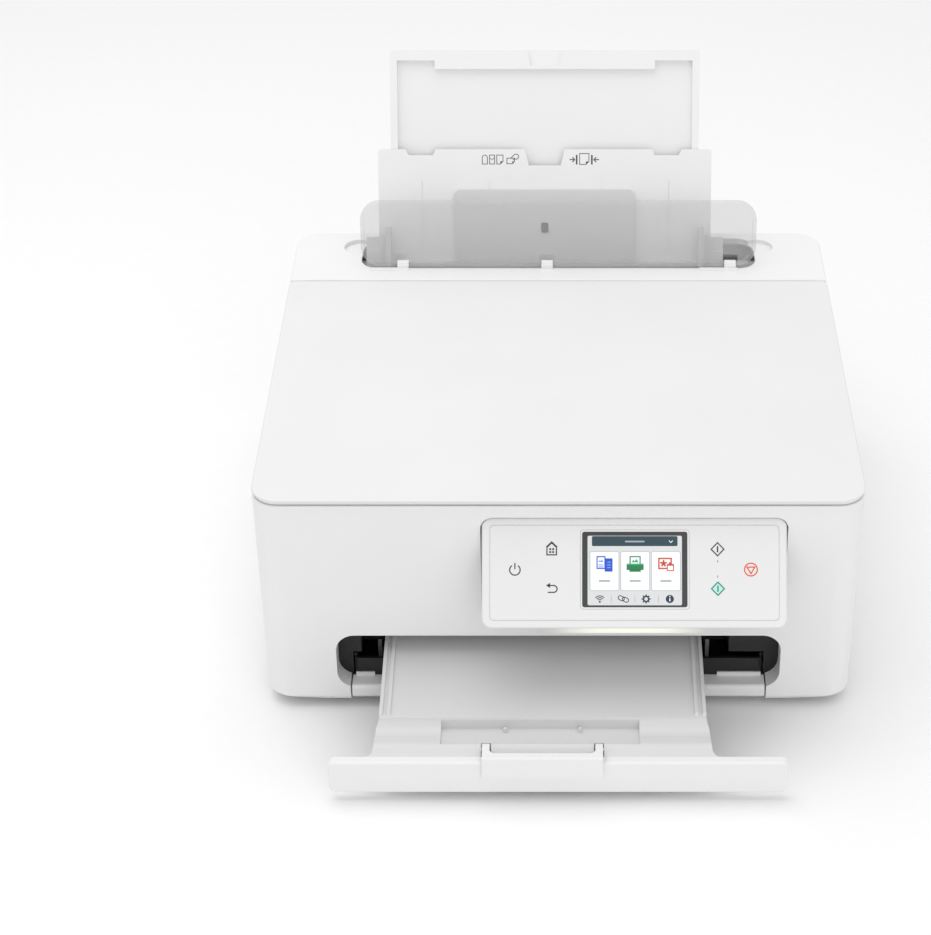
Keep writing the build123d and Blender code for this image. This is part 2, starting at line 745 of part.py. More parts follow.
scan_bar_left = -bed_width / 2
with BuildPart(floor) as scan_bar:
    bar_top_z = glass_bottom - seam
    slab(scan_bar_left, scan_bar_left + scan_bar_width, bed_centre_y - bed_depth / 2 - 2,
         bed_centre_y + bed_depth / 2 + 2, bar_top_z - scan_bar_height, bar_top_z)
    fillet(scan_bar.edges().filter_by(Axis.Z), 3)
    slab(scan_bar_left, scan_bar_left + scan_bar_width, bed_centre_y - 9, bed_centre_y + 9,
         scan_rail_z - 4.5, bar_top_z - scan_bar_height + 1)
    rod(scan_bar_left - 1, scan_bar_left + scan_bar_width + 1, bed_centre_y, scan_rail_z,
        scan_rail_radius + running, Mode.SUBTRACT)
    slab(scan_bar_left + 6, scan_bar_left + 12, bed_centre_y - bed_depth / 2 + 2,
         bed_centre_y + bed_depth / 2 - 2, bar_top_z - 1, bar_top_z + 1, Mode.SUBTRACT)
scan_bar.part.label = "scan_bar"
export_step(scan_bar.part, "parts/scan_bar.step")

# Control panel front: a hollow plate with the display window, drawn in the panel's own plane
display_y = -display_down


def plate(x, y, width, height, corner, mode=Mode.ADD):
    """A rectangle with round corners in the current sketch."""
    with Locations((x, y)):
        RectangleRounded(width, height, corner, mode=mode)


def outline_groove(x, y, width, height, corner):
    """A fine line round a rectangle in the current sketch."""
    plate(x, y, width, height, corner)
    plate(x, y, width - 2 * groove_width, height - 2 * groove_width, corner - groove_width, Mode.SUBTRACT)


panel_middle = -panel_height / 2
shell_width = panel_width - 2 * panel_skin
shell_height = panel_height - 2 * panel_skin
with BuildPart(panel_plane) as panel_front:
    with BuildSketch(panel_plane.offset(-panel_thickness)):
        plate(0, panel_middle, panel_width, panel_height, panel_corner)
    extrude(amount=panel_thickness)
    fillet(panel_front.faces().sort_by(Axis((0, 0, 0), panel_plane.z_dir))[-1].edges(), panel_edge_radius)
    with BuildSketch(panel_plane.offset(-panel_thickness)):
        plate(0, panel_middle, shell_width, shell_height, panel_corner - panel_skin)
    extrude(amount=panel_thickness - panel_skin, mode=Mode.SUBTRACT)
    with BuildSketch(panel_plane.offset(-panel_thickness)):
        plate(display_x, display_y, display_width, display_height, display_corner)
    extrude(amount=panel_thickness + 1, mode=Mode.SUBTRACT)
    with BuildSketch(panel_plane.offset(-groove_depth)):
        outline_groove(display_x, display_y, display_width + 2 * ring_gap, display_height + 2 * ring_gap,
                       display_corner + ring_gap)
        outline_groove(0, panel_middle, panel_width - 2 * inset_line, panel_height - 2 * inset_line, 3)
    extrude(amount=groove_depth + 0.1, mode=Mode.SUBTRACT)
    rod(-panel_width, panel_width, -panel_axis_down, -panel_axis_back, panel_pin_radius, Mode.SUBTRACT)
panel_front.part.label = "panel_front"
export_step(panel_front.part, "parts/panel_front.step")

# Control panel back shell, with the two hinge pins moulded on
with BuildPart(panel_plane) as panel_back:
    with BuildSketch(panel_plane.offset(-panel_thickness)):
        plate(0, panel_middle, shell_width, shell_height, panel_corner - panel_skin)
    extrude(amount=panel_back_thickness)
    boss_root = shell_width / 2 - 5
    for sign in (-1, 1):
        inner, outer = sorted((sign * boss_root, sign * (boss_root + 3.5)))
        slab(inner, outer, -panel_axis_down - 2.5, -panel_axis_down + 0.3, -panel_thickness, -panel_axis_back)
        pin_root, pin_end = sorted((sign * boss_root, sign * (recess_half_width + recess_wall - 0.4)))
        rod(pin_root, pin_end, -panel_axis_down, -panel_axis_back, panel_pin_radius)
panel_back.part.label = "panel_back"
export_step(panel_back.part, "parts/panel_back.step")

# Display: a dark frame, and the screen inside it
with BuildPart(panel_plane) as display_frame:
    with BuildSketch(panel_plane.offset(-display_depth)):
        plate(display_x, display_y, display_width, display_height, display_corner)
    extrude(amount=display_depth - display_sink)
    with BuildSketch(panel_plane.offset(-screen_back)):
        plate(display_x, display_y - screen_down, screen_width, screen_height, screen_corner)
    extrude(amount=screen_back, mode=Mode.SUBTRACT)
display_frame.part.label = "display_frame"
export_step(display_frame.part, "parts/display_frame.step")

with BuildPart(panel_plane) as display_screen:
    with BuildSketch(panel_plane.offset(-screen_back)):
        plate(display_x, display_y - screen_down, screen_width, screen_height, screen_corner)
    extrude(amount=screen_thickness)
display_screen.part.label = "display_screen"
export_step(display_screen.part, "parts/display_screen.step")

def bed_z(y):
    """Height of the output tray's bed at a depth behind the front face."""
    return tray_root_z + y * tan(radians(tray_tilt))


# Cassette tray, with a bridge whose two runners carry the output tray, and ears for the lift plate
floor_top = cassette_bottom + cassette_floor
with BuildPart(floor) as cassette_tray:
    half = cassette_half_width
    wall = cassette_wall
    slab(-half, half, cassette_front_y, cassette_rear_y, cassette_bottom, cassette_top)
    fillet(cassette_tray.edges().filter_by(Axis.Z), 4)
    slab(-half + wall, half - wall, cassette_front_y + wall, cassette_rear_y - wall, floor_top,
         cassette_top + 1, Mode.SUBTRACT)
    slab(-half - 1, half + 1, cassette_front_y - 1, cassette_front_y + wall + 1, cassette_front_top,
         cassette_top + 1, Mode.SUBTRACT)
    slab(-half + 1, half - 1, bridge_front, bridge_rear, cassette_top - bridge_thickness, cassette_top)
    for sign in (-1, 1):
        with BuildSketch(side(path_x + sign * runner_x - runner_width / 2)):
            with BuildLine():
                Polyline((bridge_front, cassette_top - 1), (bridge_rear, cassette_top - 1),
                         (bridge_rear, bed_z(bridge_rear) - tray_thickness - slip),
                         (bridge_front, bed_z(bridge_front) - tray_thickness - slip), close=True)
            make_face()
        extrude(amount=runner_width)
        ear_start = path_x + sign * (lift_plate_half_width + slip)
        ear_end = ear_start + sign * 4
        slab(min(ear_start, ear_end), max(ear_start, ear_end), lift_plate_front - 4, lift_plate_front + 4,
             floor_top - 0.5, lift_axis_z + 3.5)
    rod(path_x - lift_plate_half_width - 6, path_x + lift_plate_half_width + 6, lift_plate_front, lift_axis_z,
        lift_pin_radius + running, Mode.SUBTRACT)
cassette_tray.part.label = "cassette_tray"
export_step(cassette_tray.part, "parts/cassette_tray.step")

# Cassette front bar, with the low upstands behind its ledge
with BuildPart(floor) as cassette_front:
    slab(-bar_half_width, bar_half_width, 0, cassette_front_y, bar_bottom, bar_top)
    bar_edges = cassette_front.faces().sort_by(Axis.Y)[0].edges().filter_by(Axis.X).sort_by(Axis.Z)
    fillet(bar_edges[-1], bar_edge_radius)
    chamfer(cassette_front.faces().sort_by(Axis.Y)[0].edges().filter_by(Axis.X).sort_by(Axis.Z)[0],
            skirt_chamfer)
    for x0, x1 in ((-bar_half_width + 2, -bar_half_width + 14), (bar_half_width - 30, bar_half_width - 2)):
        slab(x0, x1, cassette_front_y - 1.2, cassette_front_y, bar_top - 0.5, bar_top + bar_lip_height)
cassette_front.part.label = "cassette_front"
export_step(cassette_front.part, "parts/cassette_front.step")

# Lift plate that raises the stack
with BuildPart(floor) as lift_plate:
    plate_under = floor_top + slip
    slab(path_x - lift_plate_half_width, path_x + lift_plate_half_width, lift_plate_front, lift_plate_rear,
         plate_under, plate_under + lift_plate_thickness)
    rod(path_x - lift_plate_half_width, path_x + lift_plate_half_width, lift_plate_front, lift_axis_z, 2.3)
    rod(path_x - lift_plate_half_width - 4, path_x + lift_plate_half_width + 4, lift_plate_front, lift_axis_z,
        lift_pin_radius)
    slab(path_x - 12, path_x + 12, lift_plate_rear - 60, lift_plate_rear - 20, plate_under - 1,
         plate_under + lift_plate_thickness + 1, Mode.SUBTRACT)
lift_plate.part.label = "lift_plate"
export_step(lift_plate.part, "parts/lift_plate.step")

# The two paper guides inside the cassette
for hand, sign in (("left", -1), ("right", 1)):
    with BuildPart(floor) as cassette_guide:
        face = path_x + sign * (sheet_width / 2 + 0.5)
        back = face + sign * 2.5
        toe = face + sign * 10
        slab(min(face, back), max(face, back), 40, 108, floor_top + slip, cassette_top - 3)
        slab(min(face, toe), max(face, toe), 60, 88, floor_top + slip, floor_top + slip + 2.5)
    cassette_guide.part.label = f"cassette_guide_{hand}"
    export_step(cassette_guide.part, f"parts/cassette_guide_{hand}.step")

# Output tray: its side profile runs down from the sloping bed over a step to the front plate
bed_back_z = bed_z(tray_back)
bed_front_z = bed_z(tray_step_y)
half_tray = tray_width / 2
flap_half = flap_width / 2
ear_side = flap_half + flap_gap
with BuildPart(floor) as output_tray:
    with BuildSketch(side(path_x - 115)):
        with BuildLine():
            Polyline((tray_back, bed_back_z - tray_thickness), (tray_back, bed_back_z),
                     (tray_step_y, bed_front_z))
            Spline((tray_step_y, bed_front_z), (shelf_y, shelf_z), tangents=((-0.35, -1), (-1, 0)))
            Line((shelf_y, shelf_z), (bump_y, bump_z))
            Spline((bump_y, bump_z), (plate_rear_y, plate_top), tangents=((-1, 0), (-1, -0.2)))
            Polyline((plate_rear_y, plate_top), (plate_rear_y, plate_top - tray_thickness),
                     (tray_step_y + 1, plate_top - tray_thickness),
                     (tray_step_y + 6, bed_front_z - tray_thickness + 0.5),
                     (tray_back, bed_back_z - tray_thickness))
        make_face()
    extrude(amount=230)
    with BuildSketch(floor.offset(10)):
        with BuildLine():
            neck = half_tray + 1.2
            hip = half_tray + tray_flare
            foot = hip + tray_fillet
            right_side = [(half_tray, tray_back), (half_tray, tray_step_y), (neck + 0.5, shelf_y + 6),
                          (hip - 1, plate_rear_y + tray_fillet)]
            for sign in (-1, 1):
                Polyline(*[(path_x + sign * x, y) for x, y in right_side])
                RadiusArc((path_x + sign * right_side[-1][0], right_side[-1][1]),
                          (path_x + sign * foot, plate_rear_y), sign * -tray_fillet * 1.3)
            Line((path_x - foot, plate_rear_y), (path_x + foot, plate_rear_y))
            Line((path_x - half_tray, tray_back), (path_x + half_tray, tray_back))
        make_face()
    extrude(amount=60, mode=Mode.INTERSECT)
    # Raised rails along both edges of the bed
    for sign in (-1, 1):
        for start in (half_tray - tray_rail_width, half_tray - 2.2):
            inner, outer = sorted((sign * start, sign * (start + 2.2)))
            with BuildSketch(side(path_x + inner)):
                with BuildLine():
                    Polyline((tray_back, bed_back_z - 1), (tray_back, bed_back_z + tray_rail_height),
                             (tray_step_y + 3, bed_front_z + tray_rail_height),
                             (tray_step_y + 1, bed_front_z - 1), close=True)
                make_face()
            extrude(amount=outer - inner)
    # Shallow well in the front, and the two notches that hold the flap's arms
    slab(path_x + well_left, path_x + well_right, bump_y - 1, tray_step_y - 0.5, shelf_z - well_depth,
         shelf_z + 20, Mode.SUBTRACT)
    arm_room = flap_axis_y + flap_top - flap_axis_z + 0.5
    for sign in (-1, 1):
        arm_side = flap_half - flap_arm_width - flap_gap
        inner, outer = sorted((path_x + sign * arm_side, path_x + sign * ear_side))
        slab(inner, outer, plate_rear_y - 1, arm_room, 10, 50, Mode.SUBTRACT)
        inner, outer = sorted((path_x + sign * (ear_side - 1), path_x + sign * (ear_side + flap_pin_length)))
        rod(inner, outer, flap_axis_y, flap_axis_z, flap_pin_radius + running, Mode.SUBTRACT)
        with Locations((path_x + sign * stop_pin_spacing / 2, tray_step_y - 4, shelf_z - well_depth)):
            Cylinder(1.2, 6)
output_tray.part.label = "output_tray"
export_step(output_tray.part, "parts/output_tray.step")

# Wide front plate of the output tray
with BuildPart(floor) as tray_front_plate:
    with BuildSketch(upright(plate_rear_y)):
        with Locations((0, (plate_top + plate_bottom) / 2)):
            RectangleRounded(plate_width, plate_top - plate_bottom, plate_corner)
    extrude(amount=plate_thickness)
    fillet(tray_front_plate.faces().sort_by(Axis.Y)[0].edges(), plate_edge_radius)
tray_front_plate.part.label = "tray_front_plate"
export_step(tray_front_plate.part, "parts/tray_front_plate.step")

# Output flap: it hangs over the plate's front, on two arms that turn in the tray's notches
plate_front_y = plate_rear_y - plate_thickness
with BuildPart(floor) as output_flap:
    hang_y = plate_front_y - slip
    hang_front = hang_y - flap_thickness
    flap_rear = flap_axis_y - 2
    with BuildSketch(floor.offset(flap_top - flap_thickness)):
        with Locations((path_x, (hang_front + flap_rear) / 2)):
            Rectangle(flap_width, flap_rear - hang_front)
        with BuildSketch(mode=Mode.SUBTRACT) as between_arms:
            with Locations((path_x, (hang_front + flap_ledge + flap_rear + 5) / 2)):
                Rectangle(flap_width - 2 * flap_arm_width, flap_rear + 5 - hang_front - flap_ledge)
            fillet(between_arms.vertices().group_by(Axis.Y)[0], flap_arm_fillet)
    extrude(amount=flap_thickness)
    slab(path_x - flap_half, path_x + flap_half, hang_front, hang_y, flap_bottom, flap_top)
    front_edges = output_flap.faces().sort_by(Axis.Y)[0].edges().filter_by(Axis.X)
    fillet(front_edges.sort_by(Axis.Z)[-1], flap_edge_radius)
    for sign in (-1, 1):
        inner, outer = sorted((path_x + sign * (flap_half - flap_arm_width), path_x + sign * flap_half))
        slab(inner, outer, flap_axis_y - 3, flap_axis_y, flap_axis_z - 1, flap_top)
        rod(inner, outer, flap_axis_y, flap_axis_z, flap_barrel_radius)
        pin_reach = flap_half + flap_pin_length - 0.5
        inner, outer = sorted((path_x + sign * (flap_half - 2), path_x + sign * pin_reach))
        rod(inner, outer, flap_axis_y, flap_axis_z, flap_pin_radius)
output_flap.part.label = "output_flap"
export_step(output_flap.part, "parts/output_flap.step")

# Rear feed chute: side walls under the deck, a back wall along the support, and guide ribs
def on_support(along, out):
    """Depth and height of a point given along the support's plane and out of it."""
    depth = support_foot_y + along * sin(lean) - out * cos(lean)
    return (depth, lid_top + along * cos(lean) + out * sin(lean))


rest_back = stage_gap
rest_face = rest_back + rest_thickness
roller_y, roller_z = on_support(-rear_roller_down, rest_face + slip + rear_roller_radius)
chute_back = -upper_back - chute_back_gap
chute_foot_y, chute_foot_z = on_support(-chute_length, chute_back - chute_wall)
chute_head_y, chute_head_z = on_support(-chute_head_down, chute_back - chute_wall)
cheek_front = roller_y - rear_roller_radius - 3
cheek_shoulder = roller_z + rear_roller_radius
with BuildPart(floor) as feed_chute:
    for x in (-chute_half_width - chute_wall, chute_half_width):
        with BuildSketch(side(x)):
            with BuildLine():
                Polyline((cheek_front, chute_foot_z), (cheek_front, cheek_shoulder),
                         (cross_wall_y + 4, cheek_shoulder + 4), (cross_wall_y + 4, casing_top),
                         (chute_head_y + 11, casing_top), (chute_head_y, chute_head_z),
                         (chute_foot_y, chute_foot_z), close=True)
            make_face()
        extrude(amount=chute_wall)
    rod(-chute_half_width - 5, chute_half_width + 5, roller_y, roller_z, pickup_shaft + running,
        Mode.SUBTRACT)
    with BuildSketch(side(-chute_half_width - 1)):
        with BuildLine():
            Polyline(on_support(-chute_length, chute_back), on_support(-chute_head_down, chute_back),
                     (chute_head_y, chute_head_z), (chute_foot_y, chute_foot_z), close=True)
        make_face()
    extrude(amount=2 * chute_half_width + 2)
    rib_start = lower_width / 2 + slip
    for sign in (-1, 1):
        ends = (path_x + sign * rib_start, path_x + sign * (rib_start + chute_rib_width))
        with BuildSketch(side(min(ends))):
            with BuildLine():
                Polyline(on_support(-chute_length, chute_back - 1),
                         on_support(-chute_head_down, chute_back - 1),
                         on_support(-chute_head_down, rest_back), on_support(-chute_length, rest_back),
                         close=True)
            make_face()
        extrude(amount=chute_rib_width)
feed_chute.part.label = "feed_chute"
export_step(feed_chute.part, "parts/feed_chute.step")

# Rear tray plate: a wide base in the chute and a raised backrest in the middle
with BuildPart(support_plane) as rear_tray_plate:
    left, right = -chute_half_width + 0.1 - path_x, chute_half_width - 0.1 - path_x
    slab(left, right, -rear_roller_down - 10, -chute_head_down, rest_back, rest_face)
    overlap = chute_head_down + 4
    with BuildSketch(support_plane.offset(rest_back)):
        plate(0, (rest_height - overlap) / 2, 2 * rest_half_width, rest_height + overlap, 4)
    extrude(amount=rest_thickness)
rear_tray_plate.part.label = "rear_tray_plate"
export_step(rear_tray_plate.part, "parts/rear_tray_plate.step")

# Small pad on the backrest that holds back the last sheet
with BuildPart(support_plane) as rest_pad:
    with BuildSketch(support_plane.offset(rest_face)):
        plate(0, rest_pad_up, 5, 7, 1)
    extrude(amount=rest_pad_thickness)
rest_pad.part.label = "rest_pad"
export_step(rest_pad.part, "parts/rest_pad.step")

# Lower stage of the paper support
half_lower = lower_width / 2
half_upper = upper_width / 2
with BuildPart(support_plane) as lower_support:
    with BuildSketch(support_plane.offset(-lower_thickness)) as lower_face:
        with Locations((0, (lower_exposed - lower_hidden) / 2)):
            Rectangle(lower_width, lower_exposed + lower_hidden)
        fillet(lower_face.vertices().group_by(Axis.Y)[-1], 2)
        with Locations((0, lower_exposed)):
            Trapezoid(34, 2 * 11.4, 76, rotation=180, mode=Mode.SUBTRACT)
        for x in lower_side_notches:
            with Locations((x, lower_exposed)):
                Trapezoid(25, 2 * 4.2, 65, rotation=180, mode=Mode.SUBTRACT)
    extrude(amount=lower_thickness)
    for x in lower_grooves:
        slab(x - groove_width / 2, x + groove_width / 2, 0, lower_groove_top, -groove_depth, 1, Mode.SUBTRACT)
    for sign in (-1, 1):
        inner, outer = sorted((sign * (half_upper + slip), sign * half_lower))
        slab(inner, outer, -lower_hidden, lower_exposed - 7, -upper_back, -lower_thickness)
lower_support.part.label = "lower_support"
export_step(lower_support.part, "parts/lower_support.step")

# Upper stage: a shallow tray with a thick top bar and a finger notch
upper_front = -lower_thickness - stage_gap
with BuildPart(support_plane) as upper_support:
    half = half_upper
    slab(-half, half, upper_hidden_start, upper_exposed, -upper_back, -upper_back + upper_skin)
    for sign in (-1, 1):
        inner, outer = sorted((sign * (half - upper_rim), sign * half))
        slab(inner, outer, upper_hidden_start, upper_exposed, -upper_back, upper_front)
    slab(-half, half, upper_exposed - upper_corner_bar, upper_exposed, -upper_back, upper_front)
    half = upper_bar_half_width
    slab(-half, half, upper_exposed - upper_bar, upper_exposed, -upper_back, upper_front)
    corners = upper_support.edges().filter_by(Axis((0, 0, 0), support_plane.z_dir))
    fillet(corners.group_by(Axis((0, 0, 0), support_plane.y_dir))[-1], 2)
    with BuildSketch(support_plane.offset(upper_front + 1)):
        with Locations((0, upper_exposed)):
            Trapezoid(29, 2 * 10.5, 78, rotation=180)
    extrude(amount=-3.5, mode=Mode.SUBTRACT)
upper_support.part.label = "upper_support"
export_step(upper_support.part, "parts/upper_support.step")

# The two rear paper guides
for hand, sign in (("left", -1), ("right", 1)):
    with BuildPart(support_plane) as rear_guide:
        face = sign * guide_half_gap
        back = sign * (guide_half_gap + guide_thickness)
        toe = sign * (guide_half_gap + guide_thickness + guide_foot)
        base = rest_face + slip
        slab(min(face, back), max(face, back), guide_bottom, guide_top, base, base + guide_height)
        slab(min(face, toe), max(face, toe), guide_bottom, guide_top - 18, base, base + guide_foot_thickness)
        slab(min(back, toe), max(back, toe), guide_top - 19, guide_top - 8, base, base + 3)
    rear_guide.part.label = f"rear_guide_{hand}"
    export_step(rear_guide.part, f"parts/rear_guide_{hand}.step")

# Feed slot cover: a clear leaf with a rim all round, and pins across its three notches
cover_turn = radians(cover_lean)
cover_step_y = cover_axis_y - cover_y
cover_step_z = cover_axis_z - cover_z
cover_axis_rise = cover_step_y * sin(cover_turn) + cover_step_z * cos(cover_turn)
cover_axis_out = -cover_step_y * cos(cover_turn) + cover_step_z * sin(cover_turn)
cover_tall = cover_height + cover_drop
cover_middle = cover_tall / 2 - cover_drop
cover_back = cover_thickness + cover_rim
with BuildPart(cover_plane) as feed_slot_cover:
    with BuildSketch(cover_plane.offset(-cover_thickness)):
        plate(0, cover_middle, cover_width, cover_tall, cover_corner)
    extrude(amount=cover_thickness)
    fillet(feed_slot_cover.faces().sort_by(Axis((0, 0, 0), cover_plane.z_dir))[-1].edges(), 1.2)
    with BuildSketch(cover_plane.offset(-cover_back)):
        plate(0, cover_middle, cover_width, cover_tall, cover_corner)
        plate(0, cover_middle, cover_width - 2 * cover_rim_width, cover_tall - 2 * cover_rim_width,
              cover_corner - cover_rim_width, Mode.SUBTRACT)
    extrude(amount=cover_rim)
    for x in cover_clips:
        gap = cover_clip_width / 2 + cover_notch_gap
        slab(x - gap, x + gap, -cover_drop - 1, cover_notch_height, -cover_back - 1, 1, Mode.SUBTRACT)
        rod(x - gap - 1, x + gap + 1, cover_axis_rise, cover_axis_out, cover_pin_radius)
feed_slot_cover.part.label = "feed_slot_cover"
export_step(feed_slot_cover.part, "parts/feed_slot_cover.step")

# Rear pickup roller
with BuildPart(floor) as rear_pickup_roller:
    rod(path_x - 15, path_x + 15, roller_y, roller_z, rear_roller_radius)
    rod(-chute_half_width - chute_wall, chute_half_width + chute_wall, roller_y, roller_z, pickup_shaft)
rear_pickup_roller.part.label = "rear_pickup_roller"
export_step(rear_pickup_roller.part, "parts/rear_pickup_roller.step")

# Gear train beside the right side frame
train = radians(train_angle)
centre_distance = gear_module * (feed_teeth + idler_teeth) / 2 + backlash
idler_y = feed_y - centre_distance * cos(train)
idler_z = feed_z - centre_distance * sin(train)
eject_y = feed_y - 2 * centre_distance * cos(train)
eject_z = feed_z - 2 * centre_distance * sin(train)
pinion_angle = train_angle + 180 + 10 * 360 / feed_teeth
pinion_distance = gear_module * (feed_teeth + pinion_teeth) / 2 + backlash
pinion_y = feed_y + pinion_distance * cos(radians(pinion_angle))
pinion_z = feed_z + pinion_distance * sin(radians(pinion_angle))
frame_outer = frame_x + frame_thickness
gear_left = frame_outer + gear_gap
gear_right = gear_left + gear_face
shaft_stop = -frame_outer - 2


def gear_blank(y, z, teeth, first_tooth):
    """A spur gear's outline, with one tooth pointing along the given angle."""
    pitch = 360 / teeth
    root = gear_module * (teeth / 2 - 1.2)
    tip = gear_module * (teeth / 2 + 0.9)
    outline = []
    for tooth in range(teeth):
        for radius, offset in ((root, -0.29), (tip, -0.14), (tip, 0.14), (root, 0.29)):
            a = radians(first_tooth + (tooth + offset) * pitch)
            outline.append((y + radius * cos(a), z + radius * sin(a)))
    with BuildSketch(side(gear_left), mode=Mode.PRIVATE) as blank:
        with BuildLine():
            Polyline(*outline, close=True)
        make_face()
    return blank.sketch


# Feed roller with its gear
with BuildPart(floor) as feed_roller:
    rod(path_x - half_tray + 2, path_x + half_tray - 2, feed_y, feed_z, feed_radius)
    rod(shaft_stop, gear_right, feed_y, feed_z, feed_shaft)
    extrude(gear_blank(feed_y, feed_z, feed_teeth, train_angle + 180), amount=gear_face)
feed_roller.part.label = "feed_roller"
export_step(feed_roller.part, "parts/feed_roller.step")

# Eject roller with its rubber rings and gear
with BuildPart(floor) as eject_roller:
    rod(shaft_stop, gear_right, eject_y, eject_z, eject_shaft)
    for ring in range(ring_count):
        ring_x = path_x + (ring - (ring_count - 1) / 2) * ring_pitch
        rod(ring_x - ring_width / 2, ring_x + ring_width / 2, eject_y, eject_z, eject_radius)
    extrude(gear_blank(eject_y, eject_z, feed_teeth, train_angle), amount=gear_face)
eject_roller.part.label = "eject_roller"
export_step(eject_roller.part, "parts/eject_roller.step")

# Idler gear between the two rollers' gears
with BuildPart(floor) as idler_gear:
    extrude(gear_blank(idler_y, idler_z, idler_teeth, train_angle + 180 / idler_teeth), amount=gear_face)
    rod(gear_left - 1, gear_right + 1, idler_y, idler_z, stud_radius + running, Mode.SUBTRACT)
idler_gear.part.label = "idler_gear"
export_step(idler_gear.part, "parts/idler_gear.step")

# Motor pinion on its shaft
with BuildPart(floor) as motor_pinion:
    first_tooth = pinion_angle + 180 + 180 / pinion_teeth
    extrude(gear_blank(pinion_y, pinion_z, pinion_teeth, first_tooth), amount=gear_face)
    rod(frame_x - 4, gear_right, pinion_y, pinion_z, pinion_shaft)
motor_pinion.part.label = "motor_pinion"
export_step(motor_pinion.part, "parts/motor_pinion.step")

# Feed motor on the right side frame
with BuildPart(floor) as feed_motor:
    rod(frame_x - feed_motor_length, frame_x, pinion_y, pinion_z, feed_motor_radius)
    rod(frame_x - 5, frame_x + 1, pinion_y, pinion_z, pinion_shaft + running, Mode.SUBTRACT)
feed_motor.part.label = "feed_motor"
export_step(feed_motor.part, "parts/feed_motor.step")

# Side frames: two pressed plates with bores for every shaft
with BuildPart(floor) as side_frames:
    for x in (-frame_outer, frame_x):
        slab(x, x + frame_thickness, frame_front, frame_rear, base_top, frame_height)
    rod(frame_outer - 0.5, gear_right, idler_y, idler_z, stud_radius)
    fillet(side_frames.edges().filter_by(Axis.X).group_by(Axis.Z)[-1], 10)
    bores = ((feed_y, feed_z, feed_shaft + running), (eject_y, eject_z, eject_shaft + running),
             (pickup_y, pickup_z, pickup_shaft + running), (shaft_y, shaft_z, shaft_radius))
    for y, z, radius in bores:
        rod(-frame_outer - 1, frame_outer + 1, y, z, radius, Mode.SUBTRACT)
    rod(frame_x - 1, frame_outer + 1, pinion_y, pinion_z, 2 * pinion_shaft, Mode.SUBTRACT)
side_frames.part.label = "side_frames"
export_step(side_frames.part, "parts/side_frames.step")

# Cassette pickup roller
with BuildPart(floor) as cassette_pickup_roller:
    rod(path_x - 12, path_x + 12, pickup_y, pickup_z, pickup_radius)
    rod(-frame_outer - 1, frame_outer + 0.5, pickup_y, pickup_z, pickup_shaft)
cassette_pickup_roller.part.label = "cassette_pickup_roller"
export_step(cassette_pickup_roller.part, "parts/cassette_pickup_roller.step")

# Platen under the print head
platen_front = eject_y + eject_radius + 3
platen_rear = feed_y - feed_radius - 2
with BuildPart(floor) as platen:
    slab(-frame_x, platen_right, platen_front, platen_rear, platen_top - platen_thickness, platen_top)
    for rib in range(platen_rib_count):
        rib_x = path_x + (rib - (platen_rib_count - 1) / 2) * platen_rib_pitch
        slab(rib_x - 0.6, rib_x + 0.6, platen_front + 2, platen_rear - 2, platen_top - 1,
             platen_top + platen_rib_height)
platen.part.label = "platen"
export_step(platen.part, "parts/platen.step")

# Purge unit, where the print head parks
purge_front = eject_y + eject_radius + 2
purge_rear = feed_y - feed_shaft - 2.5
with BuildPart(floor) as purge_unit:
    slab(platen_right, frame_x, purge_front, purge_rear, purge_bottom, platen_top)
    well_end = frame_x - purge_rim - 6
    slab(platen_right + purge_rim, well_end, purge_front + purge_rim, purge_rear - purge_rim,
         platen_top - 3, platen_top + 1, Mode.SUBTRACT)
    for x in (platen_right + purge_rim + 8, well_end - 10):
        slab(x - 7, x + 7, purge_front + 7, purge_rear - 7, platen_top - 4, platen_top + 0.5)
purge_unit.part.label = "purge_unit"
export_step(purge_unit.part, "parts/purge_unit.step")

# Rear guide rail of sheet metal, with holes for the two pulley shafts
rail_back = rail_y + rail_thickness
with BuildPart(floor) as carriage_rail:
    slab(-frame_x, frame_x, rail_y, rail_back, rail_bottom, rail_top)
    slab(-frame_x, frame_x, rail_y, rail_y + rail_flange, rail_top - rail_thickness, rail_top)
    for x in (-belt_pulley_x, belt_pulley_x):
        stud(x, rail_y - 1, rail_back + 1, belt_z, pulley_shaft + running, Mode.SUBTRACT)
carriage_rail.part.label = "carriage_rail"
export_step(carriage_rail.part, "parts/carriage_rail.step")

# Guide shaft
with BuildPart(floor) as guide_shaft:
    rod(-frame_outer, frame_outer, shaft_y, shaft_z, shaft_radius)
guide_shaft.part.label = "guide_shaft"
export_step(guide_shaft.part, "parts/guide_shaft.step")

# Carriage belt, a toothless loop round both pulleys
belt_inner = pulley_radius + running
belt_outer = belt_inner + belt_thickness
belt_front = belt_y - belt_width / 2
belt_rear = belt_y + belt_width / 2
with BuildPart(floor) as carriage_belt:
    with BuildSketch(upright(belt_front)):
        with Locations((0, belt_z)):
            SlotCenterToCenter(2 * belt_pulley_x, 2 * belt_outer)
            SlotCenterToCenter(2 * belt_pulley_x, 2 * belt_inner, mode=Mode.SUBTRACT)
    extrude(amount=-belt_width)
carriage_belt.part.label = "carriage_belt"
export_step(carriage_belt.part, "parts/carriage_belt.step")

# Pulleys: the left one is driven by the carriage motor
for name, x in (("drive_pulley", -belt_pulley_x), ("idler_pulley", belt_pulley_x)):
    with BuildPart(floor) as pulley:
        pulley_front = belt_front - pulley_overhang
        pulley_rear = belt_rear + pulley_overhang
        stud(x, pulley_front, pulley_rear, belt_z, pulley_radius)
        for y in (pulley_front, pulley_rear - 0.6):
            stud(x, y, y + 0.6, belt_z, pulley_radius + pulley_flange)
        stud(x, belt_y, rail_back + 2.5, belt_z, pulley_shaft)
    pulley.part.label = name
    export_step(pulley.part, f"parts/{name}.step")

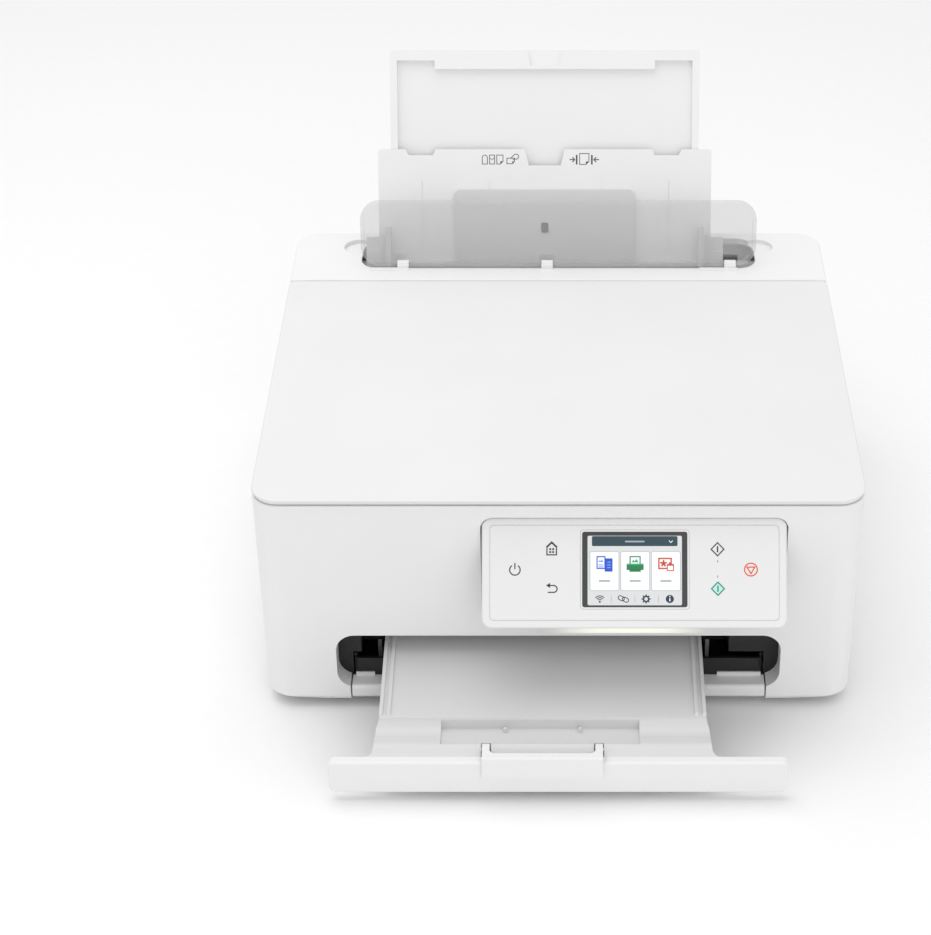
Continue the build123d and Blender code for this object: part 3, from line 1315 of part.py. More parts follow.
# Carriage motor behind the rail
with BuildPart(floor) as carriage_motor:
    stud(-belt_pulley_x, rail_back, rail_back + carriage_motor_length, belt_z, carriage_motor_radius)
    stud(-belt_pulley_x, rail_y, rail_back + 4.5, belt_z, pulley_shaft + running, Mode.SUBTRACT)
carriage_motor.part.label = "carriage_motor"
export_step(carriage_motor.part, "parts/carriage_motor.step")

# Carriage: an open box on a bored boss, clamped to the belt's lower run
middle = (carriage_left + carriage_right) / 2
pocket_front = carriage_front + carriage_wall
pocket_rear = carriage_rear - carriage_wall
pocket_floor = carriage_bottom + carriage_wall
pockets = ((carriage_left + carriage_wall, middle - carriage_wall / 2),
           (middle + carriage_wall / 2, carriage_right - carriage_wall))
with BuildPart(floor) as carriage:
    slab(carriage_left, carriage_right, carriage_front, carriage_rear, carriage_bottom, carriage_top)
    fillet(carriage.edges().filter_by(Axis.Z), 3)
    for x0, x1 in pockets:
        slab(x0, x1, pocket_front, pocket_rear, pocket_floor, carriage_top + 1, Mode.SUBTRACT)
    slab(carriage_left + 4, carriage_right - 4, carriage_rear - 1, shaft_y + 5.5, shaft_z - 6, shaft_z + 6)
    slab(middle - 6, middle + 6, belt_front, belt_rear, shaft_z + 4, belt_z - belt_outer - 0.25)
    rod(carriage_left - 1, carriage_right + 1, shaft_y, shaft_z, shaft_radius + running, Mode.SUBTRACT)
carriage.part.label = "carriage"
export_step(carriage.part, "parts/carriage.step")

# Print head below the carriage
with BuildPart(floor) as print_head:
    slab(carriage_left + 6, carriage_right - 6, carriage_front + 12, carriage_rear - 16,
         carriage_bottom - head_drop, carriage_bottom)
print_head.part.label = "print_head"
export_step(print_head.part, "parts/print_head.step")

# Ink cartridges
for name, (x0, x1) in zip(("black_cartridge", "color_cartridge"), pockets):
    with BuildPart(floor) as cartridge:
        slab(x0 + slip, x1 - slip, pocket_front + slip, pocket_rear - slip, pocket_floor, carriage_top + 1)
        fillet(cartridge.edges().filter_by(Axis.Z), 3)
        slab(x0 + 6, x1 - 6, pocket_front + 6, pocket_front + 9, carriage_top, carriage_top + 4)
    cartridge.part.label = name
    export_step(cartridge.part, f"parts/{name}.step")

# Dark inner chassis: two pods beside the output path, tied to the side frames
with BuildPart(floor) as inner_chassis:
    lintel_top = sleeve_top + lintel_thickness
    pod_bottom = cassette_top + 2
    slab(-opening_half_width, pod_left, sleeve_depth, pod_rear, pod_bottom, sleeve_top)
    slab(pod_right, opening_half_width, sleeve_depth, pod_rear, pod_bottom, sleeve_top)
    slab(-opening_half_width, opening_half_width, sleeve_depth, lintel_rear, sleeve_top, lintel_top)
    for sign in (-1, 1):
        inner, outer = sorted((sign * opening_half_width, sign * frame_x))
        slab(inner, outer, frame_front + 0.5, pod_rear, pod_bottom + 2, sleeve_top)
        # A blind behind the opening's edge hides the cassette's rail
        inner, outer = sorted((sign * (cassette_half_width + 2 * slip), sign * opening_half_width))
        slab(inner, outer, sleeve_depth, sleeve_depth + blind_thickness, opening_bottom, pod_bottom + 1)
inner_chassis.part.label = "inner_chassis"
export_step(inner_chassis.part, "parts/inner_chassis.step")

# Ink absorber along the left side
kerb_inner = body_width / 2 - side_draft - skirt_lip - kerb_width - 0.2
with BuildPart(floor) as ink_absorber:
    slab(-kerb_inner, -frame_outer - 1, absorber_front, absorber_rear, base_top, absorber_top)
    absorber_width = kerb_inner - frame_outer - 1
    fillet(ink_absorber.edges().filter_by(Axis.Z), min(4, 0.4 * absorber_width))
ink_absorber.part.label = "ink_absorber"
export_step(ink_absorber.part, "parts/ink_absorber.step")

# Power supply in the rear right corner
with BuildPart(floor) as power_supply:
    slab(frame_outer + 2, kerb_inner, supply_front, supply_rear, base_top, supply_top)
    supply_width = kerb_inner - frame_outer - 2
    fillet(power_supply.edges().filter_by(Axis.Z), min(2, 0.4 * supply_width))
power_supply.part.label = "power_supply"
export_step(power_supply.part, "parts/power_supply.step")

# Main board on standoffs beside the left side frame, with its larger components
with BuildPart(floor) as main_board:
    board_x = -frame_outer - board_gap
    slab(board_x - board_thickness, board_x, board_front, board_rear, board_bottom, board_top)
    for y in (board_front + 10, frame_rear - 10):
        for z in (board_bottom + 7, board_top - 8):
            rod(board_x - 0.5, -frame_outer, y, z, standoff_radius)
    for y0, z0, size in ((25, 15, 22), (60, 17, 14), (60, 41, 12), (100, 11, 18), (105, 43, 12)):
        slab(board_x - 4, board_x - 1, board_front + y0, board_front + y0 + size,
             board_bottom + z0, board_bottom + z0 + size)
main_board.part.label = "main_board"
export_step(main_board.part, "parts/main_board.step")
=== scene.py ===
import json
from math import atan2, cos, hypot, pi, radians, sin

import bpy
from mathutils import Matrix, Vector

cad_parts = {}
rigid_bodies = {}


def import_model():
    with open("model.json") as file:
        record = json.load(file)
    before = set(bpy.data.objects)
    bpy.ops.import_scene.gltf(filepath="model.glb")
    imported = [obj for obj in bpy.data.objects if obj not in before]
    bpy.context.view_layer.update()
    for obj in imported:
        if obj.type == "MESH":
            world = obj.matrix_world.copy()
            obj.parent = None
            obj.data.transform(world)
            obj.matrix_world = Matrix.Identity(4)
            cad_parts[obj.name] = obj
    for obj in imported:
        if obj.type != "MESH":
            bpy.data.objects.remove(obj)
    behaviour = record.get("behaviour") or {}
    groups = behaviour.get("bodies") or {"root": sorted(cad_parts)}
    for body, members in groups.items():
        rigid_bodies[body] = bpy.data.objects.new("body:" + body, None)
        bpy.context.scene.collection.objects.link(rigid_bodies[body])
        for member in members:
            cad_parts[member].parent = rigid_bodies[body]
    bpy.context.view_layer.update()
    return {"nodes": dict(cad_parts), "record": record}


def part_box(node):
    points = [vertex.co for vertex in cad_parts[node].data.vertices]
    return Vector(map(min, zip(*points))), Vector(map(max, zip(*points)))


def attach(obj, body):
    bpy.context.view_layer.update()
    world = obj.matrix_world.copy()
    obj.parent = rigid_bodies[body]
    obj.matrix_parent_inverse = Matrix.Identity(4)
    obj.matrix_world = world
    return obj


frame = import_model()

# %% [markdown]
# # A multifunction printer in white moulded plastic
# The solids already have their true shapes and sizes, so this file is about the surfaces: how the
# mouldings catch the light, what is printed on the control panel, and what glows. Everything is
# in metres, and most sizes below are written in millimetres and divided once.

MM = 0.001
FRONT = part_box("main_casing")[0][1]

# %% [markdown]
# ## Camera
# The product was photographed from a little over a metre away with a long lens, from above and
# straight in front. The picture's middle lies left of the printer's middle, so the lens is
# shifted instead of turned, which keeps the upright edges upright.

# %% Camera
IMAGE_LONG_SIDE = 935
camera_data = bpy.data.cameras.new("photo_camera")
camera_data.lens = 94.76
camera_data.sensor_width = 36
camera_data.shift_x = -92.9 / IMAGE_LONG_SIDE
camera = bpy.data.objects.new("photo_camera", camera_data)
camera.location = (0, FRONT - 1.243, 0.995)
camera.rotation_euler = (radians(90 - 33.10), 0, 0)
bpy.context.scene.collection.objects.link(camera)
bpy.context.scene.camera = camera
print("camera", tuple(round(v, 3) for v in camera.location))

# %% [markdown]
# ## Studio
# White goods on white are lit almost without shadows: a broad soft light from above and the left
# gives each edge its faint shade, a weaker one fills the front, and a bright surround does the rest.
# Standard colour keeps the whites white.

# %% Lights, surround and floor
world = bpy.data.worlds.new("studio")
bpy.context.scene.world = world
world.use_nodes = True
world.node_tree.nodes["Background"].inputs["Color"].default_value = (1.0, 1.0, 1.0, 1)
world.node_tree.nodes["Background"].inputs["Strength"].default_value = 0.82
bpy.context.scene.view_settings.view_transform = "Standard"


def soft_light(name, place, target, size, power):
    """A square soft light that faces a point."""
    data = bpy.data.lights.new(name, "AREA")
    data.shape = "SQUARE"
    data.size = size
    data.energy = power
    lamp = bpy.data.objects.new(name, data)
    lamp.location = place
    reach = [t - p for t, p in zip(target, place)]
    lamp.rotation_euler = (atan2(hypot(reach[0], reach[1]), -reach[2]), 0, atan2(reach[1], reach[0]) - pi / 2)
    bpy.context.scene.collection.objects.link(lamp)
    return lamp


soft_light("overhead", (-0.3, 0.1, 1.6), (0, 0, 0.1), 1.4, 9)
soft_light("front_fill", (0.5, -1.9, 0.9), (0, 0, 0.1), 1.2, 5)
floor_mesh = bpy.data.meshes.new("floor")
reach = 6
floor_mesh.from_pydata([(-reach, -reach, 0), (reach, -reach, 0), (reach, reach, 0), (-reach, reach, 0)], [],
                       [(0, 1, 2, 3)])
floor = bpy.data.objects.new("floor", floor_mesh)
bpy.context.scene.collection.objects.link(floor)

# %% [markdown]
# ## Writing shaders as sums
# A shader is a graph of nodes, and arithmetic on its sockets is easier to read as arithmetic. The
# class below holds one socket. Adding, subtracting or multiplying it adds the Math node that does
# so, and any other node comes from one method of the finish that is being made.

# %% A socket that can be used in sums
def plug(tree, value, socket):
    """Feeds a value or another node's output into a socket."""
    if isinstance(value, Signal):
        tree.links.new(value.socket, socket)
    elif socket.type == "RGBA" and len(value) == 3:
        socket.default_value = (*value, 1)
    else:
        socket.default_value = value


class Signal:
    """One output socket, with the operators that the finishes use."""

    def __init__(self, tree, socket):
        self.tree, self.socket = tree, socket

    def maths(self, operation, *values):
        node = self.tree.nodes.new("ShaderNodeMath")
        node.operation = operation
        for socket, value in zip(node.inputs, values):
            plug(self.tree, value, socket)
        return Signal(self.tree, node.outputs[0])

    def __add__(self, other):
        return self.maths("ADD", self, other)

    def __radd__(self, other):
        return self.maths("ADD", other, self)

    def __sub__(self, other):
        return self.maths("SUBTRACT", self, other)

    def __rsub__(self, other):
        return self.maths("SUBTRACT", other, self)

    def __mul__(self, other):
        return self.maths("MULTIPLY", self, other)

    def __rmul__(self, other):
        return self.maths("MULTIPLY", other, self)

    def __gt__(self, other):
        return self.maths("GREATER_THAN", self, other)


# %% A finish: one material and the nodes behind it
class Finish:
    """A material with its Principled shader, and the means to add nodes to it."""

    def __init__(self, name, **constants):
        self.material = bpy.data.materials.new(name)
        self.material.use_nodes = True
        self.tree = self.material.node_tree
        self.shader = self.tree.nodes["Principled BSDF"]
        self.set(**constants)
        self.place = self.node("ShaderNodeTexCoord", output="Object")

    def set(self, **values):
        """Sets or feeds the shader's sockets; an underscore in a name stands for a space."""
        for name, value in values.items():
            plug(self.tree, value, self.shader.inputs[name.replace("_", " ")])
        return self

    def node(self, kind, settings=None, output=0, **values):
        """Any other node: its settings first, then the values or links of its sockets."""
        node = self.tree.nodes.new(kind)
        for name, value in (settings or {}).items():
            if name == "stops":
                for stop, (position, colour) in zip(node.color_ramp.elements, value):
                    stop.position, stop.color = position, (*colour, 1)
            else:
                setattr(node, name, value)
        for name, value in values.items():
            plug(self.tree, value, node.inputs[name.replace("_", " ")])
        return Signal(self.tree, node.outputs[output])

    def noise(self, size, detail=2.0, stretch=(1, 1, 1)):
        """Cloudy noise whose features are about size metres across."""
        spot = self.node("ShaderNodeMapping", {"vector_type": "POINT"}, Vector=self.place, Scale=stretch)
        return self.node("ShaderNodeTexNoise", Vector=spot, Scale=1 / size, Detail=detail)

    def blend(self, factor, dark, light):
        """A colour between two, by a factor."""
        mix = self.tree.nodes.new("ShaderNodeMix")
        mix.data_type = "RGBA"
        plug(self.tree, factor, mix.inputs["Factor"])
        plug(self.tree, dark, mix.inputs[6])
        plug(self.tree, light, mix.inputs[7])
        return Signal(self.tree, mix.outputs[2])

    def bump(self, height, depth, strength=1.0):
        """Raises the surface by height times depth metres."""
        return self.set(Normal=self.node("ShaderNodeBump", Height=height, Distance=depth, Strength=strength))


# %% [markdown]
# ## Moulded plastic
# Housings of this kind are injection moulded in tools with a fine eroded texture, so that finger
# marks don't show. Close up that is an even grain about a third of a millimetre across; from
# further off it only softens the highlights. A second, broad and very faint cloud stands for the
# way a large panel is never quite even in colour or gloss.

# %% Plastics
def moulded(name, colour, rough, grain=0.35 * MM, depth=0.012 * MM, cloud=0.06, **extra):
    """Moulded plastic with a fine grain and a faint broad unevenness."""
    finish = Finish(name, **extra)
    fine = finish.noise(grain, 3)
    broad = finish.noise(0.06, 2)
    finish.set(Base_Color=finish.blend(broad * 0.7 + fine * 0.3, [c * (1 - cloud) for c in colour], colour))
    finish.set(Roughness=rough + (broad - 0.5) * 0.08 + (fine - 0.5) * 0.06)
    return finish.bump(fine, depth)


finishes = {
    "white_shell": moulded("white_shell", (0.84, 0.84, 0.845), 0.46),
    # painted shade: the lid is the same white plastic as the shell, set darker to tone down the stronger
    # light on its top
    "lid_white": moulded("lid_white", (0.78, 0.78, 0.785), 0.50, depth=0.016 * MM),
    "tray_white": moulded("tray_white", (0.67, 0.67, 0.675), 0.40),
    "panel_white": moulded("panel_white", (0.79, 0.79, 0.795), 0.30, depth=0.004 * MM),
    "base_grey": moulded("base_grey", (0.50, 0.50, 0.51), 0.52),
    "dark_plastic": moulded("dark_plastic", (0.012, 0.012, 0.013), 0.55, cloud=0.3),
    "gear_plastic": moulded("gear_plastic", (0.70, 0.69, 0.64), 0.35, depth=0.004 * MM),
    "cartridge_black": moulded("cartridge_black", (0.03, 0.03, 0.033), 0.35, cloud=0.2),
    "cartridge_color": moulded("cartridge_color", (0.14, 0.15, 0.18), 0.35, cloud=0.2),
    "screen_black": moulded("screen_black", (0.026, 0.027, 0.029), 0.22, depth=0.002 * MM, cloud=0.15),
}
print("plastics", sorted(finishes))

# %% [markdown]
# ## The clear cover of the feed slot
# The cover is a smoky translucent leaf: the backrest and the paper guides show through it as darker
# patches. Real frosted plastic also scatters what is behind it; here a part of the light simply
# passes each of its two faces, which exports well, and a soft gloss gives the surface.

# %% Clear cover, lit window and scanner glass
clear = moulded("clear_grey", (0.56, 0.56, 0.565), 0.28, depth=0.002 * MM, Alpha=0.27, IOR=1.49)
finishes["clear_grey"] = clear
glass = Finish("bed_glass", Transmission_Weight=1.0, IOR=1.5)
smear = glass.noise(0.02, 3, (1, 3, 1))
glass.set(Base_Color=glass.blend(smear, (0.86, 0.93, 0.92), (0.93, 0.97, 0.96)),
          Roughness=0.02 + smear * 0.05)
finishes["bed_glass"] = glass

GLOW_MIDDLE, GLOW_HALF = 44 * MM, 58 * MM
lit = Finish("light_window", Emission_Strength=0.45)
along = lit.node("ShaderNodeSeparateXYZ", Vector=lit.place, output="X")
spread = lit.node("ShaderNodeMath", {"operation": "ABSOLUTE"}, Value=(along - GLOW_MIDDLE) * (1 / GLOW_HALF))
fade = lit.node("ShaderNodeMapRange", {"interpolation_type": "SMOOTHSTEP"}, output="Result", Value=spread,
                From_Min=0.25, From_Max=1.0, To_Min=1.0, To_Max=0.0)
speck = lit.noise(1.5 * MM, 2)
lit.set(Emission_Color=lit.blend(fade * (0.92 + speck * 0.16), (0.0, 0.0, 0.0), (1.0, 0.99, 0.78)),
        Base_Color=lit.blend(speck, (0.76, 0.76, 0.74), (0.80, 0.80, 0.78)), Roughness=0.25 + speck * 0.1)
finishes["light_window"] = lit
print("glow half width", GLOW_HALF)

# %% [markdown]
# ## Metal, rubber and the rest of the inside
# Sheet metal is rolled, so its scratches all run one way: noise stretched a hundredfold along one
# axis. Rubber is nearly black and dull with a fine pitted skin. The board is a green lacquer over a
# grid of tracks, and the ink felt is a mat of fibres.

# %% Metals, rubber, felt, board and pad
def rolled(name, colour, rough, stretch):
    """Metal with fine scratches along one direction."""
    finish = Finish(name, Metallic=1.0)
    scratch = finish.noise(0.5 * MM, 4, stretch)
    broad = finish.noise(0.03, 2)
    finish.set(Base_Color=finish.blend(broad, [c * 0.9 for c in colour], colour))
    finish.set(Roughness=rough + (scratch - 0.5) * 0.16 + (broad - 0.5) * 0.1)
    return finish.bump(scratch, 0.006 * MM)


finishes["steel"] = rolled("steel", (0.58, 0.59, 0.60), 0.38, (1, 0.02, 1))
finishes["shaft_steel"] = rolled("shaft_steel", (0.66, 0.67, 0.68), 0.22, (0.02, 1, 1))
finishes["motor_can"] = rolled("motor_can", (0.24, 0.24, 0.25), 0.42, (0.05, 1, 1))
finishes["rubber"] = moulded("rubber", (0.022, 0.022, 0.022), 0.75,
                             grain=0.6 * MM, depth=0.03 * MM, cloud=0.4)
finishes["roller_rubber"] = moulded("roller_rubber", (0.06, 0.06, 0.065), 0.70,
                                    grain=0.5 * MM, depth=0.03 * MM)
finishes["felt"] = moulded("felt", (0.42, 0.42, 0.40), 0.95, grain=0.9 * MM, depth=0.25 * MM, cloud=0.4)
finishes["pad_foam"] = moulded("pad_foam", (0.82, 0.82, 0.82), 0.80, grain=1.2 * MM, depth=0.03 * MM)

board = Finish("board_green", Coat_Weight=0.5)
tracks = board.node("ShaderNodeTexBrick", {"offset": 0.3, "squash": 0.6}, Vector=board.place, Scale=90.0,
                    Mortar_Size=0.06, Color1=(0.01, 0.09, 0.045), Color2=(0.012, 0.12, 0.06),
                    Mortar=(0.03, 0.22, 0.10), output="Color")
mottle = board.noise(2 * MM, 2)
board.set(Base_Color=board.blend(mottle * 0.3, tracks, (0.02, 0.14, 0.07)), Roughness=0.32 + mottle * 0.15)
finishes["board_green"] = board
print("finishes", len(finishes))

# %% [markdown]
# ## The screen
# The display is lit from behind. Its ground is a cool white that varies faintly in brightness, cut by
# a pixel grid too fine to see from the front but there when one comes close.

# %% Screen and printed inks
def glowing(name, colour, strength, rough=0.25):
    """A lit colour behind a fine pixel grid."""
    finish = Finish(name, Emission_Strength=strength)
    grid = finish.node("ShaderNodeTexChecker", Vector=finish.place, Scale=4200.0, output="Fac")
    haze = finish.noise(0.012, 1)
    tone = 0.85 + grid * 0.1 + haze * 0.1
    finish.set(Emission_Color=finish.blend(tone, [c * 0.4 for c in colour], colour))
    finish.set(Base_Color=finish.blend(haze, [c * 0.04 for c in colour], [c * 0.06 for c in colour]))
    return finish.set(Roughness=rough + haze * 0.08)


finishes["screen_face"] = glowing("screen_face", (0.70, 0.715, 0.725), 1.0)


def ink(name, colour, rough=0.45):
    """Screen-printed ink, a little uneven where the mesh laid it down."""
    finish = Finish(name)
    mesh = finish.noise(0.12 * MM, 2)
    finish.set(Base_Color=finish.blend(mesh, [c * 0.85 for c in colour], [min(1, c * 1.1) for c in colour]))
    return finish.set(Roughness=rough + (mesh - 0.5) * 0.15).bump(mesh, 0.003 * MM)


inks = {
    "grey": ink("ink_grey", (0.045, 0.045, 0.047)),
    "pale_grey": ink("ink_pale_grey", (0.20, 0.20, 0.21)),
    "ring": ink("moulded_ring", (0.46, 0.46, 0.465)),
    "orange": ink("ink_orange", (0.78, 0.085, 0.02)),
    "teal": glowing("lit_teal", (0.0, 0.25, 0.19), 1.0),
    "mint": glowing("lit_mint", (0.50, 0.82, 0.74), 1.0),
    "slate": glowing("ui_slate", (0.010, 0.045, 0.066), 1.0),
    "white": glowing("ui_white", (0.93, 0.95, 0.96), 1.0),
    "navy": glowing("ui_navy", (0.003, 0.022, 0.055), 1.0),
    "blue": glowing("ui_blue", (0.01, 0.07, 0.62), 1.0),
    "sky": glowing("ui_sky", (0.12, 0.35, 0.80), 1.0),
    "green": glowing("ui_green", (0.0, 0.20, 0.06), 1.0),
    "leaf": glowing("ui_leaf", (0.02, 0.42, 0.16), 1.0),
    "red": glowing("ui_red", (0.60, 0.055, 0.015), 1.0),
    "line": glowing("ui_line", (0.36, 0.39, 0.41), 1.0),
}
print("inks", sorted(inks))

# %% [markdown]
# ## Giving each solid its finish
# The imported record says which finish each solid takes, so one loop dresses them all. Flat faces
# stay flat and round ones are shaded smooth by their own normals.

# %% Dress the solids
for entry in frame["record"]["subparts"]:
    solid = frame["nodes"][entry["node"]]
    solid.data.materials.clear()
    solid.data.materials.append(finishes[entry["material_slot"]].material)
floor_finish = Finish("floor_paper", Roughness=0.9)
paper = floor_finish.noise(0.01, 3)
floor_finish.set(Base_Color=floor_finish.blend(paper, (0.90, 0.90, 0.90), (0.92, 0.92, 0.92)))
floor_mesh.materials.append(floor_finish.material)

# %% [markdown]
# ## Drawing on a plane
# Printed signs are real, very thin geometry, so that they stay sharp from any distance. Each is
# drawn in millimetres on a plane of the part that carries it, and stands a few hundredths of a
# millimetre proud. A stroke is a ribbon along a line of points, mitred at its corners.

# %% Ribbons, rings and filled shapes
def ribbon(points, width, closed=False):
    """A mitred ribbon along points, as quads."""
    count = len(points)
    left, right = [], []
    for i, (x, y) in enumerate(points):
        before = points[i - 1] if i or closed else None
        after = points[(i + 1) % count] if i < count - 1 or closed else None
        ways = []
        for a, b in ((before, (x, y)), ((x, y), after)):
            if a and b:
                run = hypot(b[0] - a[0], b[1] - a[1])
                ways.append(((b[0] - a[0]) / run, (b[1] - a[1]) / run))
        nx = -sum(w[1] for w in ways) / len(ways)
        ny = sum(w[0] for w in ways) / len(ways)
        square = max(nx * nx + ny * ny, 0.25)
        step = (nx / square * width / 2, ny / square * width / 2)
        left.append((x + step[0], y + step[1]))
        right.append((x - step[0], y - step[1]))
    last = count if closed else count - 1
    return [[left[i], right[i], right[(i + 1) % count], left[(i + 1) % count]] for i in range(last)]


def arc(x, y, radius, start, end, steps=24):
    """Points along an arc, angles in degrees."""
    return [(x + radius * cos(radians(start + (end - start) * i / steps)),
             y + radius * sin(radians(start + (end - start) * i / steps))) for i in range(steps + 1)]


def disc(x, y, radius, steps=28):
    """A filled circle."""
    return [arc(x, y, radius, 0, 360, steps)[:-1]]


def block(x0, y0, x1, y1, corner=0.0):
    """A filled rectangle, its corners rounded if asked."""
    if not corner:
        return [[(x0, y0), (x1, y0), (x1, y1), (x0, y1)]]
    points = []
    for cx, cy, start in ((x1 - corner, y1 - corner, 0), (x0 + corner, y1 - corner, 90),
                          (x0 + corner, y0 + corner, 180), (x1 - corner, y0 + corner, 270)):
        points += arc(cx, cy, corner, start, start + 90, 6)
    return [points]


def shift(shapes, dx, dy):
    """The same shapes, moved."""
    return [[(x + dx, y + dy) for x, y in shape] for shape in shapes]


class Plane:
    """A place to draw: an origin and two directions, in millimetres behind the printer's front."""

    def __init__(self, origin, lean_back):
        a = radians(lean_back)
        self.origin = (origin[0], FRONT / MM + origin[1], origin[2])
        self.up, self.out = (0, sin(a), cos(a)), (0, -cos(a), sin(a))

    def point(self, x, y, z):
        return [(self.origin[i] + (x if i == 0 else 0) + y * self.up[i] + z * self.out[i]) * MM
                for i in range(3)]


def sign(name, shapes, plane, height, colour, body, thick=0.06):
    """A thin printed or lit piece that rides on a body."""
    vertices, faces = [], []
    for shape in shapes:
        area = sum(shape[i - 1][0] * shape[i][1] - shape[i][0] * shape[i - 1][1] for i in range(len(shape)))
        ring = shape if area > 0 else shape[::-1]
        base, n = len(vertices), len(ring)
        for level in (height, height + thick):
            vertices += [plane.point(x, y, level) for x, y in ring]
        faces.append([base + n + i for i in range(n)])
        faces.append([base + i for i in reversed(range(n))])
        faces += [[base + i, base + (i + 1) % n, base + n + (i + 1) % n, base + n + i] for i in range(n)]
    mesh = bpy.data.meshes.new(name)
    mesh.from_pydata(vertices, [], faces)
    mesh.materials.append(inks[colour].material)
    piece = bpy.data.objects.new(name, mesh)
    bpy.context.scene.collection.objects.link(piece)
    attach(piece, body)
    return piece


print("drawing tools ready")

# %% [markdown]
# ## Touch keys on the control panel
# The keys have no travel: they are signs printed on the panel. Left of the screen are power, home
# and return; right of it a dark diamond for black copies, a glowing green one for colour, and a
# round orange stop. Their words are left off, as no lettering belongs to this part.

# %% Panel signs
panel = Plane((46.5, 2.0, 147.0), 36.0)
SIGNS_MIDDLE = (0.9, -34.15)
LINE = 0.75


def on_panel(name, shapes, x, y, colour, height=0.0):
    """A sign on the panel's face, placed from the middle of them all."""
    placed = shift(shapes, x + SIGNS_MIDDLE[0], y + SIGNS_MIDDLE[1])
    return sign(name, placed, panel, height, colour, "control_panel")


power = ribbon(arc(0, 0, 3.2, 125, 415, 40), LINE) + ribbon([(0, 0.4), (0, 4.2)], LINE)
on_panel("power_sign", power, -74, 2.0, "grey")
house = ribbon([(-3.2, 1.2), (0, 4.2), (3.2, 1.2)], LINE * 1.5)
house += ribbon([(-2.9, 0.9), (-2.9, -3.4), (2.9, -3.4), (2.9, 0.9)], LINE)
house += [s for x in (-0.9, 0.9) for y in (-1.7, 0.1) for s in block(x - 0.6, y - 0.6, x + 0.6, y + 0.6)]
on_panel("home_sign", house, -51.5, 14.6, "grey")
back = ribbon([(-2.6, 1.7), (1.0, 1.7)] + arc(1.0, -0.4, 2.1, 90, -90, 12) + [(-2.6, -2.5)], LINE)
back += [[(-3.6, 1.7), (-1.2, 0.1), (-1.2, 3.3)]]
on_panel("return_sign", back, -51.3, -9.2, "grey")
diamond = [(0, 4.0), (-3.9, 0), (0, -4.0), (3.9, 0)]
bar = ribbon([(0, 1.9), (0, -1.9)], LINE * 1.2)
on_panel("black_start_sign", ribbon(diamond, LINE, True) + bar, 49.9, 14.6, "grey")
on_panel("color_start_glow", [[(x * 0.9, y * 0.9) for x, y in diamond]], 50.1, -9.5, "mint")
on_panel("color_start_sign", ribbon(diamond, LINE, True) + bar, 50.1, -9.5, "teal", 0.05)
dashes = ribbon([(0, 8.0), (0, 6.6)], LINE * 0.6) + ribbon([(0, -1.4), (0, -2.8)], LINE * 0.6)
on_panel("start_dashes", dashes, 50.0, 0.0, "pale_grey")
stop = ribbon(arc(0, 0, 3.9, 0, 360, 40)[:-1], LINE, True)
stop += ribbon([(-2.4, 1.5), (2.4, 1.5), (0, -2.5)], LINE, True)
on_panel("stop_sign", stop, 70.3, 2.2, "orange")
DISPLAY = (0.2, -31.9)
RING_X, RING_Y, RING_CORNER, RING_LINE = 33.3, 24.2, 1.8, 0.28
ring_points = []
for side_x, side_y, start in ((1, 1, 0), (-1, 1, 90), (-1, -1, 180), (1, -1, 270)):
    ring_points += arc(side_x * (RING_X - RING_CORNER), side_y * (RING_Y - RING_CORNER), RING_CORNER,
                       start, start + 90, 5)
on_panel("display_ring", ribbon(ring_points, RING_LINE, True), DISPLAY[0] - SIGNS_MIDDLE[0],
         DISPLAY[1] - SIGNS_MIDDLE[1], "ring")
print("panel signs around", SIGNS_MIDDLE)

# %% [markdown]
# ## What the screen shows
# A home page in the usual manner: a dark bar along the top with a small arrow, three white cards
# with a drawing each, and four small signs below. It is all generic and wordless.

# %% Screen page
SCREEN = (0.2, -32.5)
SCREEN_FACE = -0.5


def on_screen(name, shapes, colour, layer):
    """A lit shape on the screen, drawn from the screen's middle."""
    lift = SCREEN_FACE + layer * 0.05
    return sign(name, shift(shapes, *SCREEN), panel, lift, colour, "control_panel", 0.04)


on_screen("page_header", block(-26.2, 14.9, 26.2, 21.0, 0.8), "slate", 0)
chevron = ribbon([(20.9, 18.3), (22.1, 17.1), (23.3, 18.3)], 0.45)
on_screen("page_chevron", chevron, "white", 1)
on_screen("page_title", block(-6.0, 17.2, 6.0, 18.2, 0.45), "line", 1)
cards = [(-27.4, -9.7), (-8.6, 9.1), (10.2, 27.9)]
card_shapes, edge_shapes, caption_shapes = [], [], []
for x0, x1 in cards:
    card_shapes += block(x0, -12.3, x1, 11.6, 1.0)
    edge_shapes += ribbon([(x0 + 0.8, -12.3), (x1 - 0.8, -12.3), (x1, -11.5), (x1, 10.8), (x1 - 0.8, 11.6),
                           (x0 + 0.8, 11.6), (x0, 10.8), (x0, -11.5)], 0.3, True)
    caption_shapes += block((x0 + x1) / 2 - 3.4, -6.9, (x0 + x1) / 2 + 3.4, -5.9, 0.4)
on_screen("page_cards", card_shapes, "white", 0)
on_screen("page_card_edges", edge_shapes, "line", 1)
on_screen("page_card_captions", caption_shapes, "line", 1)
hills = [(0.0, 0.0), (1.0, 1.4), (1.8, 0.6), (2.7, 1.9), (4.0, 0.0)]
on_screen("copy_picture_copy", block(-18.4, -0.7, -13.6, 7.4, 0.3), "blue", 1)
on_screen("copy_picture_lines", block(-17.0, 3.0, -14.6, 3.7) + block(-17.0, 1.4, -14.6, 2.1)
          + [[(x * 0.6 - 17.0, y * 0.7 + 4.6) for x, y in hills]], "sky", 2)
on_screen("copy_picture_page", block(-23.4, 0.9, -17.9, 8.8, 0.2), "blue", 2)
on_screen("copy_picture_face", block(-22.7, 1.6, -18.6, 8.1), "white", 3)
on_screen("copy_picture_text", block(-22.2, 3.1, -19.2, 3.7) + block(-22.2, 1.9, -19.2, 2.5)
          + [[(x * 0.8 - 22.3, y * 0.8 + 5.2) for x, y in hills]], "sky", 4)
